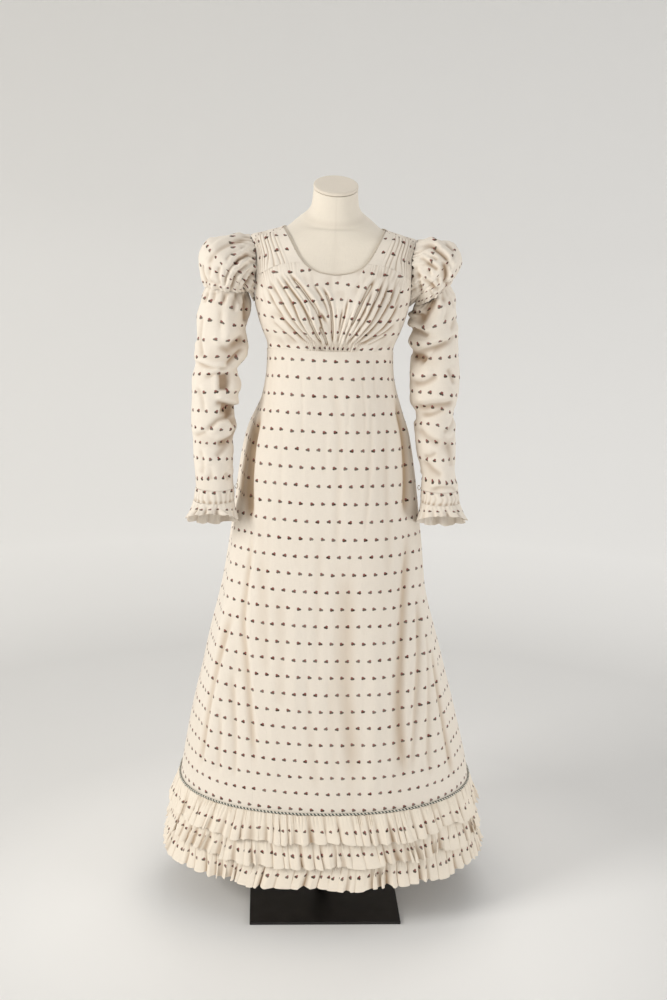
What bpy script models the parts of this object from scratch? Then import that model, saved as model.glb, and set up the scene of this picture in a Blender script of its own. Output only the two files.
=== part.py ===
"""A regency gown on a limbless dress form with a pole and a square base plate.

Units are metres, +Z is up, the gown faces -Y, and the origin is the middle of the plate's underside.
The wearer's left is +X. Every cloth piece is a wall solidified outwards from a grid of points:
bodice pieces are patches laid on the form's skin, skirt pieces and flounces are cut from the skirt's
rings, and puffs and sleeves are swept rings.
"""
from collections import namedtuple
from functools import lru_cache
from math import cos, exp, pi, radians, sin

import bmesh
import bpy
from mathutils import Matrix, Vector

# Driving sizes
WALL = 0.0015            # thickness of every cloth wall
SEAM = 0.0003            # gap between pieces that meet at a seam
EASE = 0.0006            # cloth's distance from the form's skin
FORM_INSET = 0.0012      # how far the form's surface lies inside the skin that the cloth is laid on

PLATE_SIDE = 0.300
PLATE_HEIGHT = 0.006
PLATE_BEVEL = 0.0012
POLE_RADIUS = 0.0130
FORM_BOTTOM = 0.850
FORM_TOP = 1.376
NECK_TOP = 1.4285
NECK_CAP_HEIGHT = 0.0060
NECK_SLANT = 0.36        # rise of the neck's top per metre towards the back

LEAN = radians(1.0)      # the form leans this much to the wearer's left
LEAN_PIVOT = Vector((-0.006, 0.0, 1.125))

WAIST_LOW, WAIST_HIGH = 1.1213, 1.1325   # the waistband's edges at the sides
WAIST_FRONT_RISE = 0.0135                # how much higher it sits at the centre front
BODICE_LOW = WAIST_HIGH + 0.0012         # its pieces lean out over the band, so they start a little higher

FRONT_HALF_WIDTH = 0.150   # the flat front panel, centre front to seam
SKIRT_HEM = 0.108
SKIRT_ROWS = 12
ROW_CROWDING = 1.12      # power that sets the rows closer together near the waist
TRIM_HEIGHT = 0.2450
TRIM_RADIUS = 0.0013
FORM_SIDES = 24
RING_STEPS = 240         # steps along half a ring of the skirt
BACK_FOLDS = 10
FLOUNCE_WAVES = 36
COLUMNS_PER_WAVE = 3
FRILL_WAVES = 10
PUFF_GATHERS = 7
BUST_GATHERS = 20
STRAP_PLEATS = 5

# Horizontal sections of the form's skin: depths are measured from mid_y, roundness is a superellipse's power
TorsoRow = namedtuple("TorsoRow", "z half_width front back mid_y roundness")
TORSO = [
    TorsoRow(0.850, 0.1120, 0.0780, 0.0840, 0.004, 2.2),
    TorsoRow(0.880, 0.1260, 0.0880, 0.0960, 0.004, 2.2),
    TorsoRow(0.940, 0.1330, 0.0920, 0.1020, 0.004, 2.2),
    TorsoRow(1.000, 0.1240, 0.0900, 0.0970, 0.003, 2.2),
    TorsoRow(1.060, 0.1160, 0.0880, 0.0880, 0.002, 2.2),
    TorsoRow(1.120, 0.1165, 0.0925, 0.0830, 0.000, 2.3),
    TorsoRow(1.135, 0.1180, 0.0935, 0.0835, -0.001, 2.3),
    TorsoRow(1.163, 0.1285, 0.0970, 0.0860, -0.002, 2.4),
    TorsoRow(1.194, 0.1385, 0.1010, 0.0890, -0.002, 2.5),
    TorsoRow(1.215, 0.1435, 0.1010, 0.0900, -0.002, 2.7),
    TorsoRow(1.250, 0.1470, 0.0940, 0.0910, 0.000, 2.9),
    TorsoRow(1.280, 0.1525, 0.0840, 0.0880, 0.002, 2.8),
    TorsoRow(1.305, 0.1590, 0.0750, 0.0820, 0.006, 2.4),
    TorsoRow(1.322, 0.1610, 0.0690, 0.0760, 0.007, 2.2),
    TorsoRow(1.334, 0.1560, 0.0645, 0.0710, 0.007, 2.0),
    TorsoRow(1.343, 0.1270, 0.0610, 0.0670, 0.007, 1.9),
    TorsoRow(1.354, 0.0930, 0.0560, 0.0620, 0.007, 1.9),
    TorsoRow(1.366, 0.0750, 0.0515, 0.0560, 0.006, 2.0),
    TorsoRow(1.376, 0.0590, 0.0480, 0.0510, 0.006, 2.0),
    TorsoRow(1.386, 0.0500, 0.0470, 0.0480, 0.006, 2.0),
    TorsoRow(1.398, 0.0450, 0.0450, 0.0450, 0.006, 2.0),
    TorsoRow(1.450, 0.0410, 0.0430, 0.0430, 0.006, 2.0),
]
BUST_X, BUST_Z = 0.062, 1.203
BUST_SPREAD_X, BUST_SPREAD_Z = 0.036, 0.034
BUST_DEPTH = 0.018
SKIN_CORE_TOP = 1.250    # guides are laid on the skin from core points at most this high
CORE_SHARE = 0.62        # a core point's share of its guide's X

# Horizontal sections of the skirt's inner face, in world heights
SkirtRow = namedtuple("SkirtRow", "z half_width mid_x mid_y front back roundness gore_arc")
SKIRT = [
    SkirtRow(1.150, 0.1250, -0.0060, 0.000, 0.1035, 0.0900, 2.30, 0.205),
    SkirtRow(1.120, 0.1183, -0.0062, 0.000, 0.0955, 0.0855, 2.30, 0.200),
    SkirtRow(1.086, 0.1195, -0.0060, 0.000, 0.0985, 0.0930, 2.35, 0.212),
    SkirtRow(1.055, 0.1245, -0.0050, 0.002, 0.1030, 0.1030, 2.40, 0.223),
    SkirtRow(1.020, 0.1335, -0.0040, 0.004, 0.1085, 0.1130, 2.45, 0.235),
    SkirtRow(0.960, 0.1545, -0.0050, 0.008, 0.1180, 0.1300, 2.50, 0.255),
    SkirtRow(0.900, 0.1655, -0.0055, 0.012, 0.1270, 0.1460, 2.55, 0.276),
    SkirtRow(0.783, 0.1805, -0.0055, 0.018, 0.1430, 0.1750, 2.60, 0.316),
    SkirtRow(0.650, 0.2005, -0.0070, 0.026, 0.1640, 0.2040, 2.55, 0.362),
    SkirtRow(0.516, 0.2340, -0.0055, 0.036, 0.1850, 0.2280, 2.45, 0.408),
    SkirtRow(0.378, 0.2680, -0.0025, 0.046, 0.2030, 0.2480, 2.30, 0.455),
    SkirtRow(0.242, 0.2950, 0.0020, 0.056, 0.2190, 0.2640, 2.20, 0.500),
    SkirtRow(0.090, 0.3140, 0.0020, 0.060, 0.2310, 0.2760, 2.15, 0.530),
]
# Soft vertical folds of the skirt: centre as arc from the centre front, + on the wearer's left
Fold = namedtuple("Fold", "arc_top arc_bottom width height z_top z_full z_bottom")
FOLDS = [
    Fold(0.165, 0.185, 0.016, -0.0045, 1.000, 0.800, 0.270),
    Fold(0.200, 0.245, 0.020, 0.0045, 1.000, 0.700, 0.270),
    Fold(0.225, 0.310, 0.018, -0.0040, 0.900, 0.600, 0.270),
    Fold(-0.168, -0.190, 0.018, -0.0045, 1.000, 0.700, 0.270),
    Fold(-0.205, -0.255, 0.022, 0.0035, 1.000, 0.650, 0.270),
    Fold(-0.230, -0.320, 0.020, -0.0035, 0.900, 0.600, 0.270),
]

Flounce = namedtuple("Flounce", "name top bottom stand_top stand_bottom wave_top wave_bottom phase")
FLOUNCES = [
    Flounce("flounce_1", 0.2425, 0.1880, 0.0024, 0.0150, 0.0000, 0.0042, 0.00),
    Flounce("flounce_2", 0.1960, 0.1410, 0.0024, 0.0165, 0.0000, 0.0046, 0.37),
    Flounce("flounce_3", 0.1500, 0.0960, 0.0024, 0.0180, 0.0000, 0.0050, 0.71),
]

# Swept rings: tilt 0 stands upright and faces outwards, 90 lies flat and faces down
Ring = namedtuple("Ring", "mid_x mid_y mid_z half_across half_depth tilt")
PUFF_RIGHT = [
    Ring(0.172, -0.004, 1.2844, 0.0560, 0.0590, 15),
    Ring(0.198, -0.006, 1.2830, 0.0600, 0.0680, 38),
    Ring(0.206, -0.008, 1.2710, 0.0535, 0.0660, 62),
    Ring(0.205, -0.010, 1.2540, 0.0450, 0.0570, 78),
    Ring(0.203, -0.010, 1.2405, 0.0385, 0.0460, 84),
]
PUFF_LEFT = [
    Ring(0.170, -0.004, 1.2825, 0.0560, 0.0580, 15),
    Ring(0.190, -0.006, 1.2810, 0.0560, 0.0660, 35),
    Ring(0.195, -0.008, 1.2660, 0.0520, 0.0640, 52),
    Ring(0.191, -0.010, 1.2490, 0.0420, 0.0540, 57),
    Ring(0.1854, -0.010, 1.2345, 0.0340, 0.0450, 57),
]
SLEEVE_RIGHT = [
    Ring(0.2030, -0.010, 1.2385, 0.0395, 0.0450, 84),
    Ring(0.2085, -0.011, 1.1980, 0.0480, 0.0500, 88),
    Ring(0.2115, -0.012, 1.1500, 0.0465, 0.0490, 90),
    Ring(0.2145, -0.014, 1.1180, 0.0500, 0.0500, 90),
    Ring(0.2215, -0.016, 1.0950, 0.0415, 0.0450, 90),
    Ring(0.2232, -0.020, 1.0520, 0.0455, 0.0450, 90),
    Ring(0.2270, -0.026, 1.0180, 0.0405, 0.0420, 90),
    Ring(0.2250, -0.033, 0.9850, 0.0415, 0.0420, 90),
    Ring(0.2270, -0.042, 0.9450, 0.0362, 0.0390, 90),
    Ring(0.2248, -0.052, 0.9000, 0.0355, 0.0370, 90),
    Ring(0.2228, -0.058, 0.8690, 0.0352, 0.0355, 90),
]
SLEEVE_LEFT = [
    Ring(0.1862, -0.010, 1.2328, 0.0345, 0.0445, 57),
    Ring(0.1905, -0.011, 1.1960, 0.0380, 0.0480, 76),
    Ring(0.1925, -0.012, 1.1560, 0.0420, 0.0490, 87),
    Ring(0.1930, -0.014, 1.1250, 0.0430, 0.0480, 90),
    Ring(0.1955, -0.017, 1.0850, 0.0445, 0.0470, 90),
    Ring(0.1965, -0.022, 1.0420, 0.0425, 0.0430, 90),
    Ring(0.2005, -0.029, 1.0050, 0.0355, 0.0405, 90),
    Ring(0.2016, -0.036, 0.9720, 0.0388, 0.0400, 90),
    Ring(0.2040, -0.044, 0.9350, 0.0348, 0.0370, 90),
    Ring(0.2080, -0.052, 0.9000, 0.0322, 0.0350, 90),
    Ring(0.2065, -0.058, 0.8690, 0.0340, 0.0345, 90),
]
CUFF_TOP, CUFF_BOTTOM, FRILL_BOTTOM = 0.8687, 0.8450, 0.8090
FRILL_FLARE = 0.0080
FRILL_WAVE = 0.0030
FRILL_SLANT = 0.28       # the frill's front edge sits higher than its back
FRILL_DROP = 0.0110      # how far the wrist moves forwards and outwards over the frill's height
# The thread tie's loop: how far it goes inwards to the body, forwards and up
TIE_LOOP = [
    (0.0000, 0.0000, 0.0000), (0.0012, 0.0020, -0.0030), (0.0040, 0.0030, -0.0045),
    (0.0058, 0.0020, 0.0000), (0.0045, 0.0000, 0.0040), (0.0018, -0.0010, 0.0022),
]

# Guide points on the form, laid onto its skin: x, y, z on the wearer's left
NECKLINE = [
    (0.0000, -0.090, 1.2760), (0.0250, -0.089, 1.2795), (0.0500, -0.085, 1.2915),
    (0.0650, -0.076, 1.3080), (0.0780, -0.056, 1.3290), (0.0900, -0.025, 1.3480),
    (0.0945, 0.000, 1.3540), (0.0880, 0.030, 1.3480), (0.0700, 0.058, 1.3350),
    (0.0350, 0.078, 1.3220), (0.0000, 0.082, 1.3180),
]
NECK_CUP, NECK_SHOULDER = 2.6, 5.3       # places along NECKLINE where the strap's seams meet it
CUP_SEAM = [(0.0960, -0.075, 1.2940), (0.1310, -0.0600, 1.2740)]
SHOULDER_SEAM = [(0.1135, -0.020, 1.3430), (0.1400, -0.020, 1.3360)]
ARMHOLE_CENTRE = Vector((0.155, -0.003, 1.272))
ARMHOLE_DEPTH, ARMHOLE_HEIGHT = 0.043, 0.0605
CUP_ANGLE, SHOULDER_ANGLE = 95.0, 22.0   # where the strap's seams meet the armhole, from its top
SIDE_FRONT_ANGLE, SIDE_BACK_ANGLE = 150.0, 212.0
SIDE_FRONT_WAIST, SIDE_BACK_WAIST = 76.0, 122.0
PUFF_INSET = WALL + 6 * SEAM             # the puff's own wall fills this much inside the armhole
BINDING_RADIUS = 0.0012
EDGE_INSET = BINDING_RADIUS + 4 * SEAM       # the bodice's edge stops this far from the neckline

COLOURS = {
    "cotton": ((0.780, 0.700, 0.585, 1.0), 0.90, 0.0),
    "form_cloth": ((0.760, 0.700, 0.570, 1.0), 0.85, 0.0),
    "black_metal": ((0.008, 0.008, 0.009, 1.0), 0.38, 0.6),
    "trim_cord": ((0.230, 0.210, 0.175, 1.0), 0.85, 0.0),
}


def clear_scene():
    """Removes every object that the file holds."""
    for thing in list(bpy.data.objects):
        bpy.data.objects.remove(thing, do_unlink=True)


def material(name, kind):
    """One Principled material in the colour of its kind."""
    colour, roughness, metallic = COLOURS[kind]
    made = bpy.data.materials.new(name)
    made.use_nodes = True
    shader = made.node_tree.nodes["Principled BSDF"]
    shader.inputs["Base Color"].default_value = colour
    shader.inputs["Roughness"].default_value = roughness
    shader.inputs["Metallic"].default_value = metallic
    made.diffuse_color = colour
    return made


def clamp(value, low=0.0, high=1.0):
    """A value kept between two others."""
    return max(low, min(high, value))


def smoothstep(edge0, edge1, value):
    """Eases from 0 at one edge to 1 at the other."""
    t = clamp((value - edge0) / (edge1 - edge0))
    return t * t * (3.0 - 2.0 * t)


def hermite(keys, values, at):
    """Smooth interpolation through values at increasing keys, without overshoot."""
    last = len(keys) - 1
    if at <= keys[0]:
        return values[0]
    if at >= keys[last]:
        return values[last]
    i = max(k for k in range(last) if keys[k] <= at)

    def secant(k):
        return (values[k + 1] - values[k]) / (keys[k + 1] - keys[k])

    def slope(k):
        if k in (0, last):
            return secant(min(k, last - 1))
        before, after = secant(k - 1), secant(k)
        return 0.0 if before * after <= 0.0 else 2.0 * before * after / (before + after)

    span = keys[i + 1] - keys[i]
    t = (at - keys[i]) / span
    return (
        values[i] * (1 + 2 * t) * (1 - t) ** 2 + values[i + 1] * t * t * (3 - 2 * t)
        + slope(i) * span * t * (1 - t) ** 2 + slope(i + 1) * span * t * t * (t - 1)
    )


def section(table, z):
    """A row of a table at any height, each column interpolated."""
    rows = sorted(table, key=lambda row: row.z)
    keys = [row.z for row in rows]
    return type(rows[0])(*(hermite(keys, [getattr(r, name) for r in rows], z) for name in rows[0]._fields))


def along(points, place):
    """A point of a smooth curve through points, at a place counted in points."""
    keys = list(range(len(points)))
    return Vector([hermite(keys, [p[axis] for p in points], place) for axis in range(3)])


def power(value, exponent):
    """A power that keeps its base's sign."""
    return abs(value) ** exponent * (1 if value >= 0 else -1)


# The form's skin

def bust(x, z):
    """How far the bust stands forward of the plain section."""
    lobes = sum(exp(-((x - side * BUST_X) ** 2) / (2 * BUST_SPREAD_X ** 2)) for side in (-1, 1))
    return BUST_DEPTH * lobes * exp(-((z - BUST_Z) ** 2) / (2 * BUST_SPREAD_Z ** 2))


def inside_torso(row, point):
    """Whether a point lies inside the skin, given its height's section."""
    across = abs(point.x) / row.half_width
    if across >= 1.0:
        return False
    rim = (1.0 - across ** row.roundness) ** (1.0 / row.roundness)
    y = point.y - row.mid_y
    if y > 0.0:
        return y < row.back * rim
    return -y < row.front * rim + bust(point.x, point.z) * smoothstep(0.0, 0.5, rim)


def skin(guide):
    """The skin's point on a ray from the form's core through a guide point."""
    core = Vector((guide.x * CORE_SHARE, 0.0, min(guide.z, SKIN_CORE_TOP)))
    ray = (guide - core).normalized()
    near, far = 0.0, 0.25
    level = section(TORSO, guide.z) if guide.z <= SKIN_CORE_TOP else None
    for _ in range(24):
        middle = (near + far) / 2
        point = core + ray * middle
        row = level or section(TORSO, point.z)
        if inside_torso(row, point):
            near = middle
        else:
            far = middle
    return core + ray * near


def lean(point):
    """Moves a point from the form's own upright frame to its leaning place."""
    return LEAN_PIVOT + Matrix.Rotation(LEAN, 3, "Y") @ (point - LEAN_PIVOT + Vector((LEAN_PIVOT.x, 0, 0)))


def waist_rise(point):
    """The waist sits higher towards the centre front."""
    return WAIST_FRONT_RISE * smoothstep(0.030, -0.095, point.y)


def waist_guide(angle_deg, height):
    """A guide point on the waist: 0 degrees is the centre front, 180 the centre back."""
    angle = radians(angle_deg)
    point = skin(Vector((0.12 * sin(angle), -0.095 * cos(angle), height)))
    return point + Vector((0, 0, waist_rise(point)))


def armhole_guide(angle_deg, grow=0.0):
    """A guide point on the armhole: 0 degrees is the shoulder, 90 the front, 180 the underarm."""
    angle = radians(angle_deg)
    return ARMHOLE_CENTRE + Vector((
        -0.010 * abs(sin(angle)), -(ARMHOLE_DEPTH + grow) * sin(angle), (ARMHOLE_HEIGHT + grow) * cos(angle),
    ))


def neckline_guide(place, inset=0.0):
    """A guide point on the neckline, or set back from it by an inset."""
    point = along(NECKLINE, place)
    ahead = along(NECKLINE, min(place + 0.05, len(NECKLINE) - 1))
    behind = along(NECKLINE, max(place - 0.05, 0))
    outwards = (ahead - behind).cross(skin(point) - Vector((0, 0, 1.20))).normalized()
    return point + outwards * inset


# Grids and walls

def coons(bottom, top, left, right, columns, rows):
    """Guide points of a patch between four edge curves, rows upwards and columns to the right."""
    grid = []
    for j in range(rows + 1):
        v = j / rows
        row = []
        for i in range(columns + 1):
            u = i / columns
            across = bottom(u).lerp(top(u), v) + left(v).lerp(right(v), u)
            corners = bottom(0).lerp(bottom(1), u).lerp(top(0).lerp(top(1), u), v)
            row.append(across - corners)
        grid.append(row)
    return grid


def grid_normals(grid, closed):
    """Outward normals of a grid whose rows go upwards and whose columns go to the right."""
    rows, columns = len(grid), len(grid[0])
    normals = []
    for j in range(rows):
        row = []
        for i in range(columns):
            right = grid[j][(i + 1) % columns] if closed else grid[j][min(i + 1, columns - 1)]
            left = grid[j][(i - 1) % columns] if closed else grid[j][max(i - 1, 0)]
            up = grid[min(j + 1, rows - 1)][i]
            down = grid[max(j - 1, 0)][i]
            row.append((right - left).cross(up - down).normalized())
        normals.append(row)
    return normals


def lift_grid(grid, lift, closed=False):
    """Moves every point of a grid out along its normal by lift(u, v)."""
    normals = grid_normals(grid, closed)
    rows, columns = len(grid) - 1, len(grid[0]) - (0 if closed else 1)
    return [
        [grid[j][i] + normals[j][i] * lift(i / columns, j / rows) for i in range(len(grid[0]))]
        for j in range(len(grid))
    ]


def link(name, mesh, kind):
    """An object of a mesh, with its own material."""
    mesh.materials.append(material(name + "_finish", kind))
    thing = bpy.data.objects.new(name, mesh)
    bpy.context.scene.collection.objects.link(thing)
    return thing


def cloth(name, grid, closed=False, kind="cotton"):
    """A cloth wall, solidified outwards from a grid of points on its inner face."""
    work = bmesh.new()
    points = [[work.verts.new(p) for p in row] for row in grid]
    columns = len(grid[0])
    for j in range(len(grid) - 1):
        for i in range(columns if closed else columns - 1):
            k = (i + 1) % columns
            work.faces.new((points[j][i], points[j][k], points[j + 1][k], points[j + 1][i]))
    mesh = bpy.data.meshes.new(name)
    work.to_mesh(mesh)
    work.free()
    mesh.shade_smooth()
    thing = link(name, mesh, kind)
    wall = thing.modifiers.new("wall", "SOLIDIFY")
    wall.thickness = WALL
    wall.offset = 1.0
    return thing


def loft(name, rings, kind):
    """A closed solid through rings that go upwards, with a flat face at each end."""
    work = bmesh.new()
    points = [[work.verts.new(p) for p in ring] for ring in rings]
    count = len(rings[0])
    for lower, upper in zip(points, points[1:]):
        for i in range(count):
            k = (i + 1) % count
            work.faces.new((lower[i], lower[k], upper[k], upper[i]))
    work.faces.new(points[0][::-1])
    work.faces.new(points[-1])
    mesh = bpy.data.meshes.new(name)
    work.to_mesh(mesh)
    work.free()
    mesh.shade_smooth()
    mesh.set_sharp_from_angle(angle=radians(40))
    return link(name, mesh, kind)


def tube(name, points, radius, kind, closed=True):
    """A thin cord as a poly curve with a round bevel."""
    curve = bpy.data.curves.new(name, "CURVE")
    curve.dimensions = "3D"
    spline = curve.splines.new("POLY")
    spline.points.add(len(points) - 1)
    for target, point in zip(spline.points, points):
        target.co = (*point, 1.0)
    spline.use_cyclic_u = closed
    curve.bevel_depth = radius
    curve.bevel_resolution = 0
    curve.use_fill_caps = not closed
    thing = bpy.data.objects.new(name, curve)
    thing.data.materials.append(material(name + "_finish", kind))
    bpy.context.scene.collection.objects.link(thing)
    return thing


def mirrored(grid):
    """A grid for the wearer's right from the one for the left."""
    return [[Vector((-p.x, p.y, p.z)) for p in reversed(row)] for row in grid]


def leaning(grid):
    """A grid moved to its leaning place."""
    return [[lean(p) for p in row] for row in grid]


def laid(guides, lift=lambda u, v: EASE, closed=False):
    """Guide points laid onto the form's skin and lifted off it."""
    return lift_grid([[skin(p) for p in row] for row in guides], lift, closed)


# The stand and the form

def build_stand():
    """The base plate and the pole that carries the form."""
    bpy.ops.mesh.primitive_cube_add(size=1.0, location=(0, 0, PLATE_HEIGHT / 2))
    plate = bpy.context.object
    plate.name = plate.data.name = "base_plate"
    plate.data.transform(Matrix.Diagonal((PLATE_SIDE, PLATE_SIDE, PLATE_HEIGHT, 1.0)))
    plate.data.materials.append(material("base_plate_finish", "black_metal"))
    edge = plate.modifiers.new("edge", "BEVEL")
    edge.width = PLATE_BEVEL
    edge.segments = 2
    foot, head = PLATE_HEIGHT + SEAM, FORM_BOTTOM - 3 * SEAM
    bpy.ops.mesh.primitive_cylinder_add(
        vertices=20, radius=POLE_RADIUS, depth=head - foot, location=(0, 0, (head + foot) / 2),
    )
    pole = bpy.context.object
    pole.name = pole.data.name = "pole"
    pole.data.shade_smooth()
    pole.data.set_sharp_from_angle(angle=radians(40))
    pole.data.materials.append(material("pole_finish", "black_metal"))


def form_ring(z, inset=FORM_INSET):
    """A ring of the form's surface, just inside the skin; the neck's rings slant down to the front."""
    slant = NECK_SLANT * smoothstep(FORM_TOP - 0.024, FORM_TOP - 0.002, z)
    row = section(TORSO, z)
    sink = FORM_INSET * smoothstep(1.26, 1.30, z) * smoothstep(FORM_TOP + 0.02, FORM_TOP - 0.03, z)
    ring = []
    for i in range(FORM_SIDES):
        angle = 2 * pi * i / FORM_SIDES
        across = power(sin(angle), 2 / row.roundness)
        x = (row.half_width - inset) * across
        deep = power(cos(angle), 2 / row.roundness)
        if deep > 0:
            rim = abs(deep)
            y = row.mid_y - (row.front - inset) * deep - bust(x, z) * smoothstep(0.0, 0.5, rim)
        else:
            y = row.mid_y - (row.back - inset) * deep
        ring.append(lean(Vector((x, y, z - sink + slant * (y - row.mid_y)))))
    return ring


def build_form():
    """The covered body, its neck and the slanted cap on top."""
    heights = [FORM_BOTTOM, 0.862, 0.885, 0.93, 0.99, 1.05, 1.11, 1.14, 1.165, 1.187, 1.208, 1.23, 1.252,
               1.275, 1.295, 1.312, 1.325, 1.334, 1.3395, 1.3455, 1.354, 1.364, FORM_TOP]
    insets = {FORM_BOTTOM: 0.012, 0.862: 0.004}
    loft("form_body", [form_ring(z, insets.get(z, FORM_INSET)) for z in heights], "form_cloth")
    loft("form_neck", [form_ring(z) for z in (FORM_TOP + SEAM, 1.385, 1.398, NECK_TOP)], "form_cloth")
    cap = [form_ring(NECK_TOP + SEAM + rise, inset)
           for rise, inset in ((0.0, 0.0012), (0.0010, 0.0004), (0.0044, 0.0004), (NECK_CAP_HEIGHT, 0.0020))]
    loft("neck_cap", cap, "form_cloth")


# The bodice

def cup_guide(p):
    """The seam between cup and strap, neckline to armhole."""
    points = [neckline_guide(NECK_CUP, EDGE_INSET), *CUP_SEAM, armhole_guide(CUP_ANGLE, SEAM)]
    return along(points, p * 3)


def shoulder_guide(p):
    """The seam in front of the shoulder's ridge, neckline to armhole."""
    points = [neckline_guide(NECK_SHOULDER, EDGE_INSET), *SHOULDER_SEAM, armhole_guide(SHOULDER_ANGLE, SEAM)]
    return along(points, p * 3)


def seam_shift(point, towards, gap=SEAM / 2):
    """A seam's guide moved half the seam gap towards its own piece."""
    return point + (towards - point).normalized() * gap


def front_top(u):
    """The front's upper edge from the wearer's right side seam to the left one."""
    place = abs(2 * u - 1)
    side = 1 if u >= 0.5 else -1
    if place < 0.34:
        point = neckline_guide(NECK_CUP * place / 0.34, EDGE_INSET)
    elif place < 0.80:
        point = cup_guide((place - 0.34) / 0.46)
    else:
        point = armhole_guide(CUP_ANGLE + (SIDE_FRONT_ANGLE - CUP_ANGLE) * (place - 0.80) / 0.20, SEAM)
    point = seam_shift(point, Vector((0.0, -0.10, 1.15)), SEAM)
    return Vector((side * point.x, point.y, point.z))


def front_bottom(u):
    """The front's lower edge, with the gathers drawn towards the middle."""
    place = 2 * u - 1
    drawn = 0.42 * place + 0.58 * power(place, 3.2)
    return waist_guide(SIDE_FRONT_WAIST * drawn, BODICE_LOW)


def build_bodice_front():
    """One front piece, gathered under the bust and along the cup seams."""
    def side_edge(side):
        low = waist_guide(SIDE_FRONT_WAIST, BODICE_LOW)
        high = seam_shift(armhole_guide(SIDE_FRONT_ANGLE, SEAM), Vector((0.0, -0.10, 1.15)), SEAM)
        return lambda v: Vector((side * (low.x + (high.x - low.x) * v), low.y + (high.y - low.y) * v,
                                 low.z + (high.z - low.z) * v))

    columns = 2 * BUST_GATHERS + 8

    def gathers(u, v):
        place = abs(2 * u - 1)
        index = round(u * columns)
        crest = 1.0 if index % 2 else -1.0
        held = smoothstep(0.90, 0.66, place)
        depth = 0.0009 + 0.0013 * smoothstep(0.0, 0.25, v) * smoothstep(1.0, 0.55, v)
        edge = 0.35 + 0.65 * smoothstep(0.0, 0.12, v)
        return EASE + depth * edge * held * (1.0 + crest)

    guides = coons(front_bottom, front_top, side_edge(-1), side_edge(1), columns, 7)
    cloth("bodice_front", leaning(laid(guides, gathers)))


def build_straps():
    """A strap from the cup seam to the shoulder seam on each side, pleated in its middle."""
    columns = 2 * STRAP_PLEATS + 3

    def pleats(u, v):
        index = round(u * columns)
        crest = 1.0 if index % 2 else 0.0
        return EASE + 0.0018 * crest * smoothstep(0.12, 0.32, u) * smoothstep(1.0, 0.85, u)

    def low(p):
        return seam_shift(cup_guide(p), shoulder_guide(p))

    def high(p):
        return seam_shift(shoulder_guide(p), cup_guide(p))

    def neck_edge(q):
        return neckline_guide(NECK_CUP + (NECK_SHOULDER - NECK_CUP) * q, EDGE_INSET)

    def arm_edge(q):
        return armhole_guide(CUP_ANGLE + (SHOULDER_ANGLE - CUP_ANGLE) * q, SEAM)

    guides = coons(low, high, neck_edge, arm_edge, columns, 5)
    grid = laid(guides, pleats)
    cloth("strap_left", leaning(grid))
    cloth("strap_right", leaning(mirrored(grid)))


def build_backs():
    """A back piece on each side of the centre-back opening, running over the shoulder."""
    last = len(NECKLINE) - 1
    opening_top = 0.42

    def centre_edge(v):
        if v < opening_top:
            low, high = waist_guide(180, BODICE_LOW), Vector(NECKLINE[last])
            point = low.lerp(high - Vector((0, 0, EDGE_INSET)), v / opening_top)
        else:
            place = last + (NECK_SHOULDER - last) * (v - opening_top) / (1 - opening_top)
            point = neckline_guide(place, EDGE_INSET)
        return Vector((max(point.x, SEAM / 2), point.y, point.z))

    def side_edge(v):
        if v < 0.30:
            low = waist_guide(SIDE_BACK_WAIST, BODICE_LOW)
            point = low.lerp(armhole_guide(SIDE_BACK_ANGLE, SEAM), v / 0.30)
        else:
            turn = SIDE_BACK_ANGLE + (360 + SHOULDER_ANGLE - SIDE_BACK_ANGLE) * (v - 0.30) / 0.70
            point = armhole_guide(turn, SEAM)
        return point + Vector((-SEAM / 2, SEAM / 2, 0)) * smoothstep(0.35, 0.25, v)

    def waist_edge(u):
        angle = SIDE_BACK_WAIST + (180 - SIDE_BACK_WAIST) * u
        point = waist_guide(angle, BODICE_LOW)
        return Vector((max(point.x, SEAM / 2), point.y, point.z))

    def shoulder_edge(u):
        return seam_shift(shoulder_guide(1 - u), Vector((0.12, 0.05, 1.33)))

    guides = coons(waist_edge, shoulder_edge, side_edge, centre_edge, 10, 12)
    grid = laid(guides)
    cloth("bodice_back_left", leaning(grid))
    cloth("bodice_back_right", leaning(mirrored(grid)))


def build_side_bodies():
    """The plain piece under each arm."""
    def low(u):
        angle = SIDE_FRONT_WAIST + (SIDE_BACK_WAIST - SIDE_FRONT_WAIST) * u
        return waist_guide(angle + 0.35 - 0.70 * u, BODICE_LOW)

    def high(u):
        angle = SIDE_FRONT_ANGLE + (SIDE_BACK_ANGLE - SIDE_FRONT_ANGLE) * u
        return armhole_guide(angle + 0.9 - 1.8 * u, 2 * SEAM)

    guides = coons(low, high, lambda v: low(0).lerp(high(0), v), lambda v: low(1).lerp(high(1), v), 5, 5)
    grid = laid(guides)
    cloth("side_body_left", leaning(grid))
    cloth("side_body_right", leaning(mirrored(grid)))


def build_neck_binding():
    """The fine bound edge all round the neckline."""
    steps = 26
    last = len(NECKLINE) - 1
    left = [along(NECKLINE, last * i / steps) for i in range(steps + 1)]
    loop = left + [Vector((-p.x, p.y, p.z)) for p in reversed(left[1:-1])]
    points = []
    for guide in loop:
        base = skin(guide)
        core = Vector((guide.x * CORE_SHARE, 0.0, SKIN_CORE_TOP))
        points.append(lean(base + (base - core).normalized() * (EASE + BINDING_RADIUS)))
    tube("neck_binding", points, BINDING_RADIUS, "cotton")


def build_waistband():
    """The narrow band between bodice and skirt."""
    columns = 40
    guides = []
    for height in (WAIST_LOW, WAIST_HIGH):
        guides.append([waist_guide(360 * i / columns, height) for i in range(columns)])
    cloth("waistband", leaning(laid(guides, closed=True)), closed=True)


# The skirt

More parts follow.
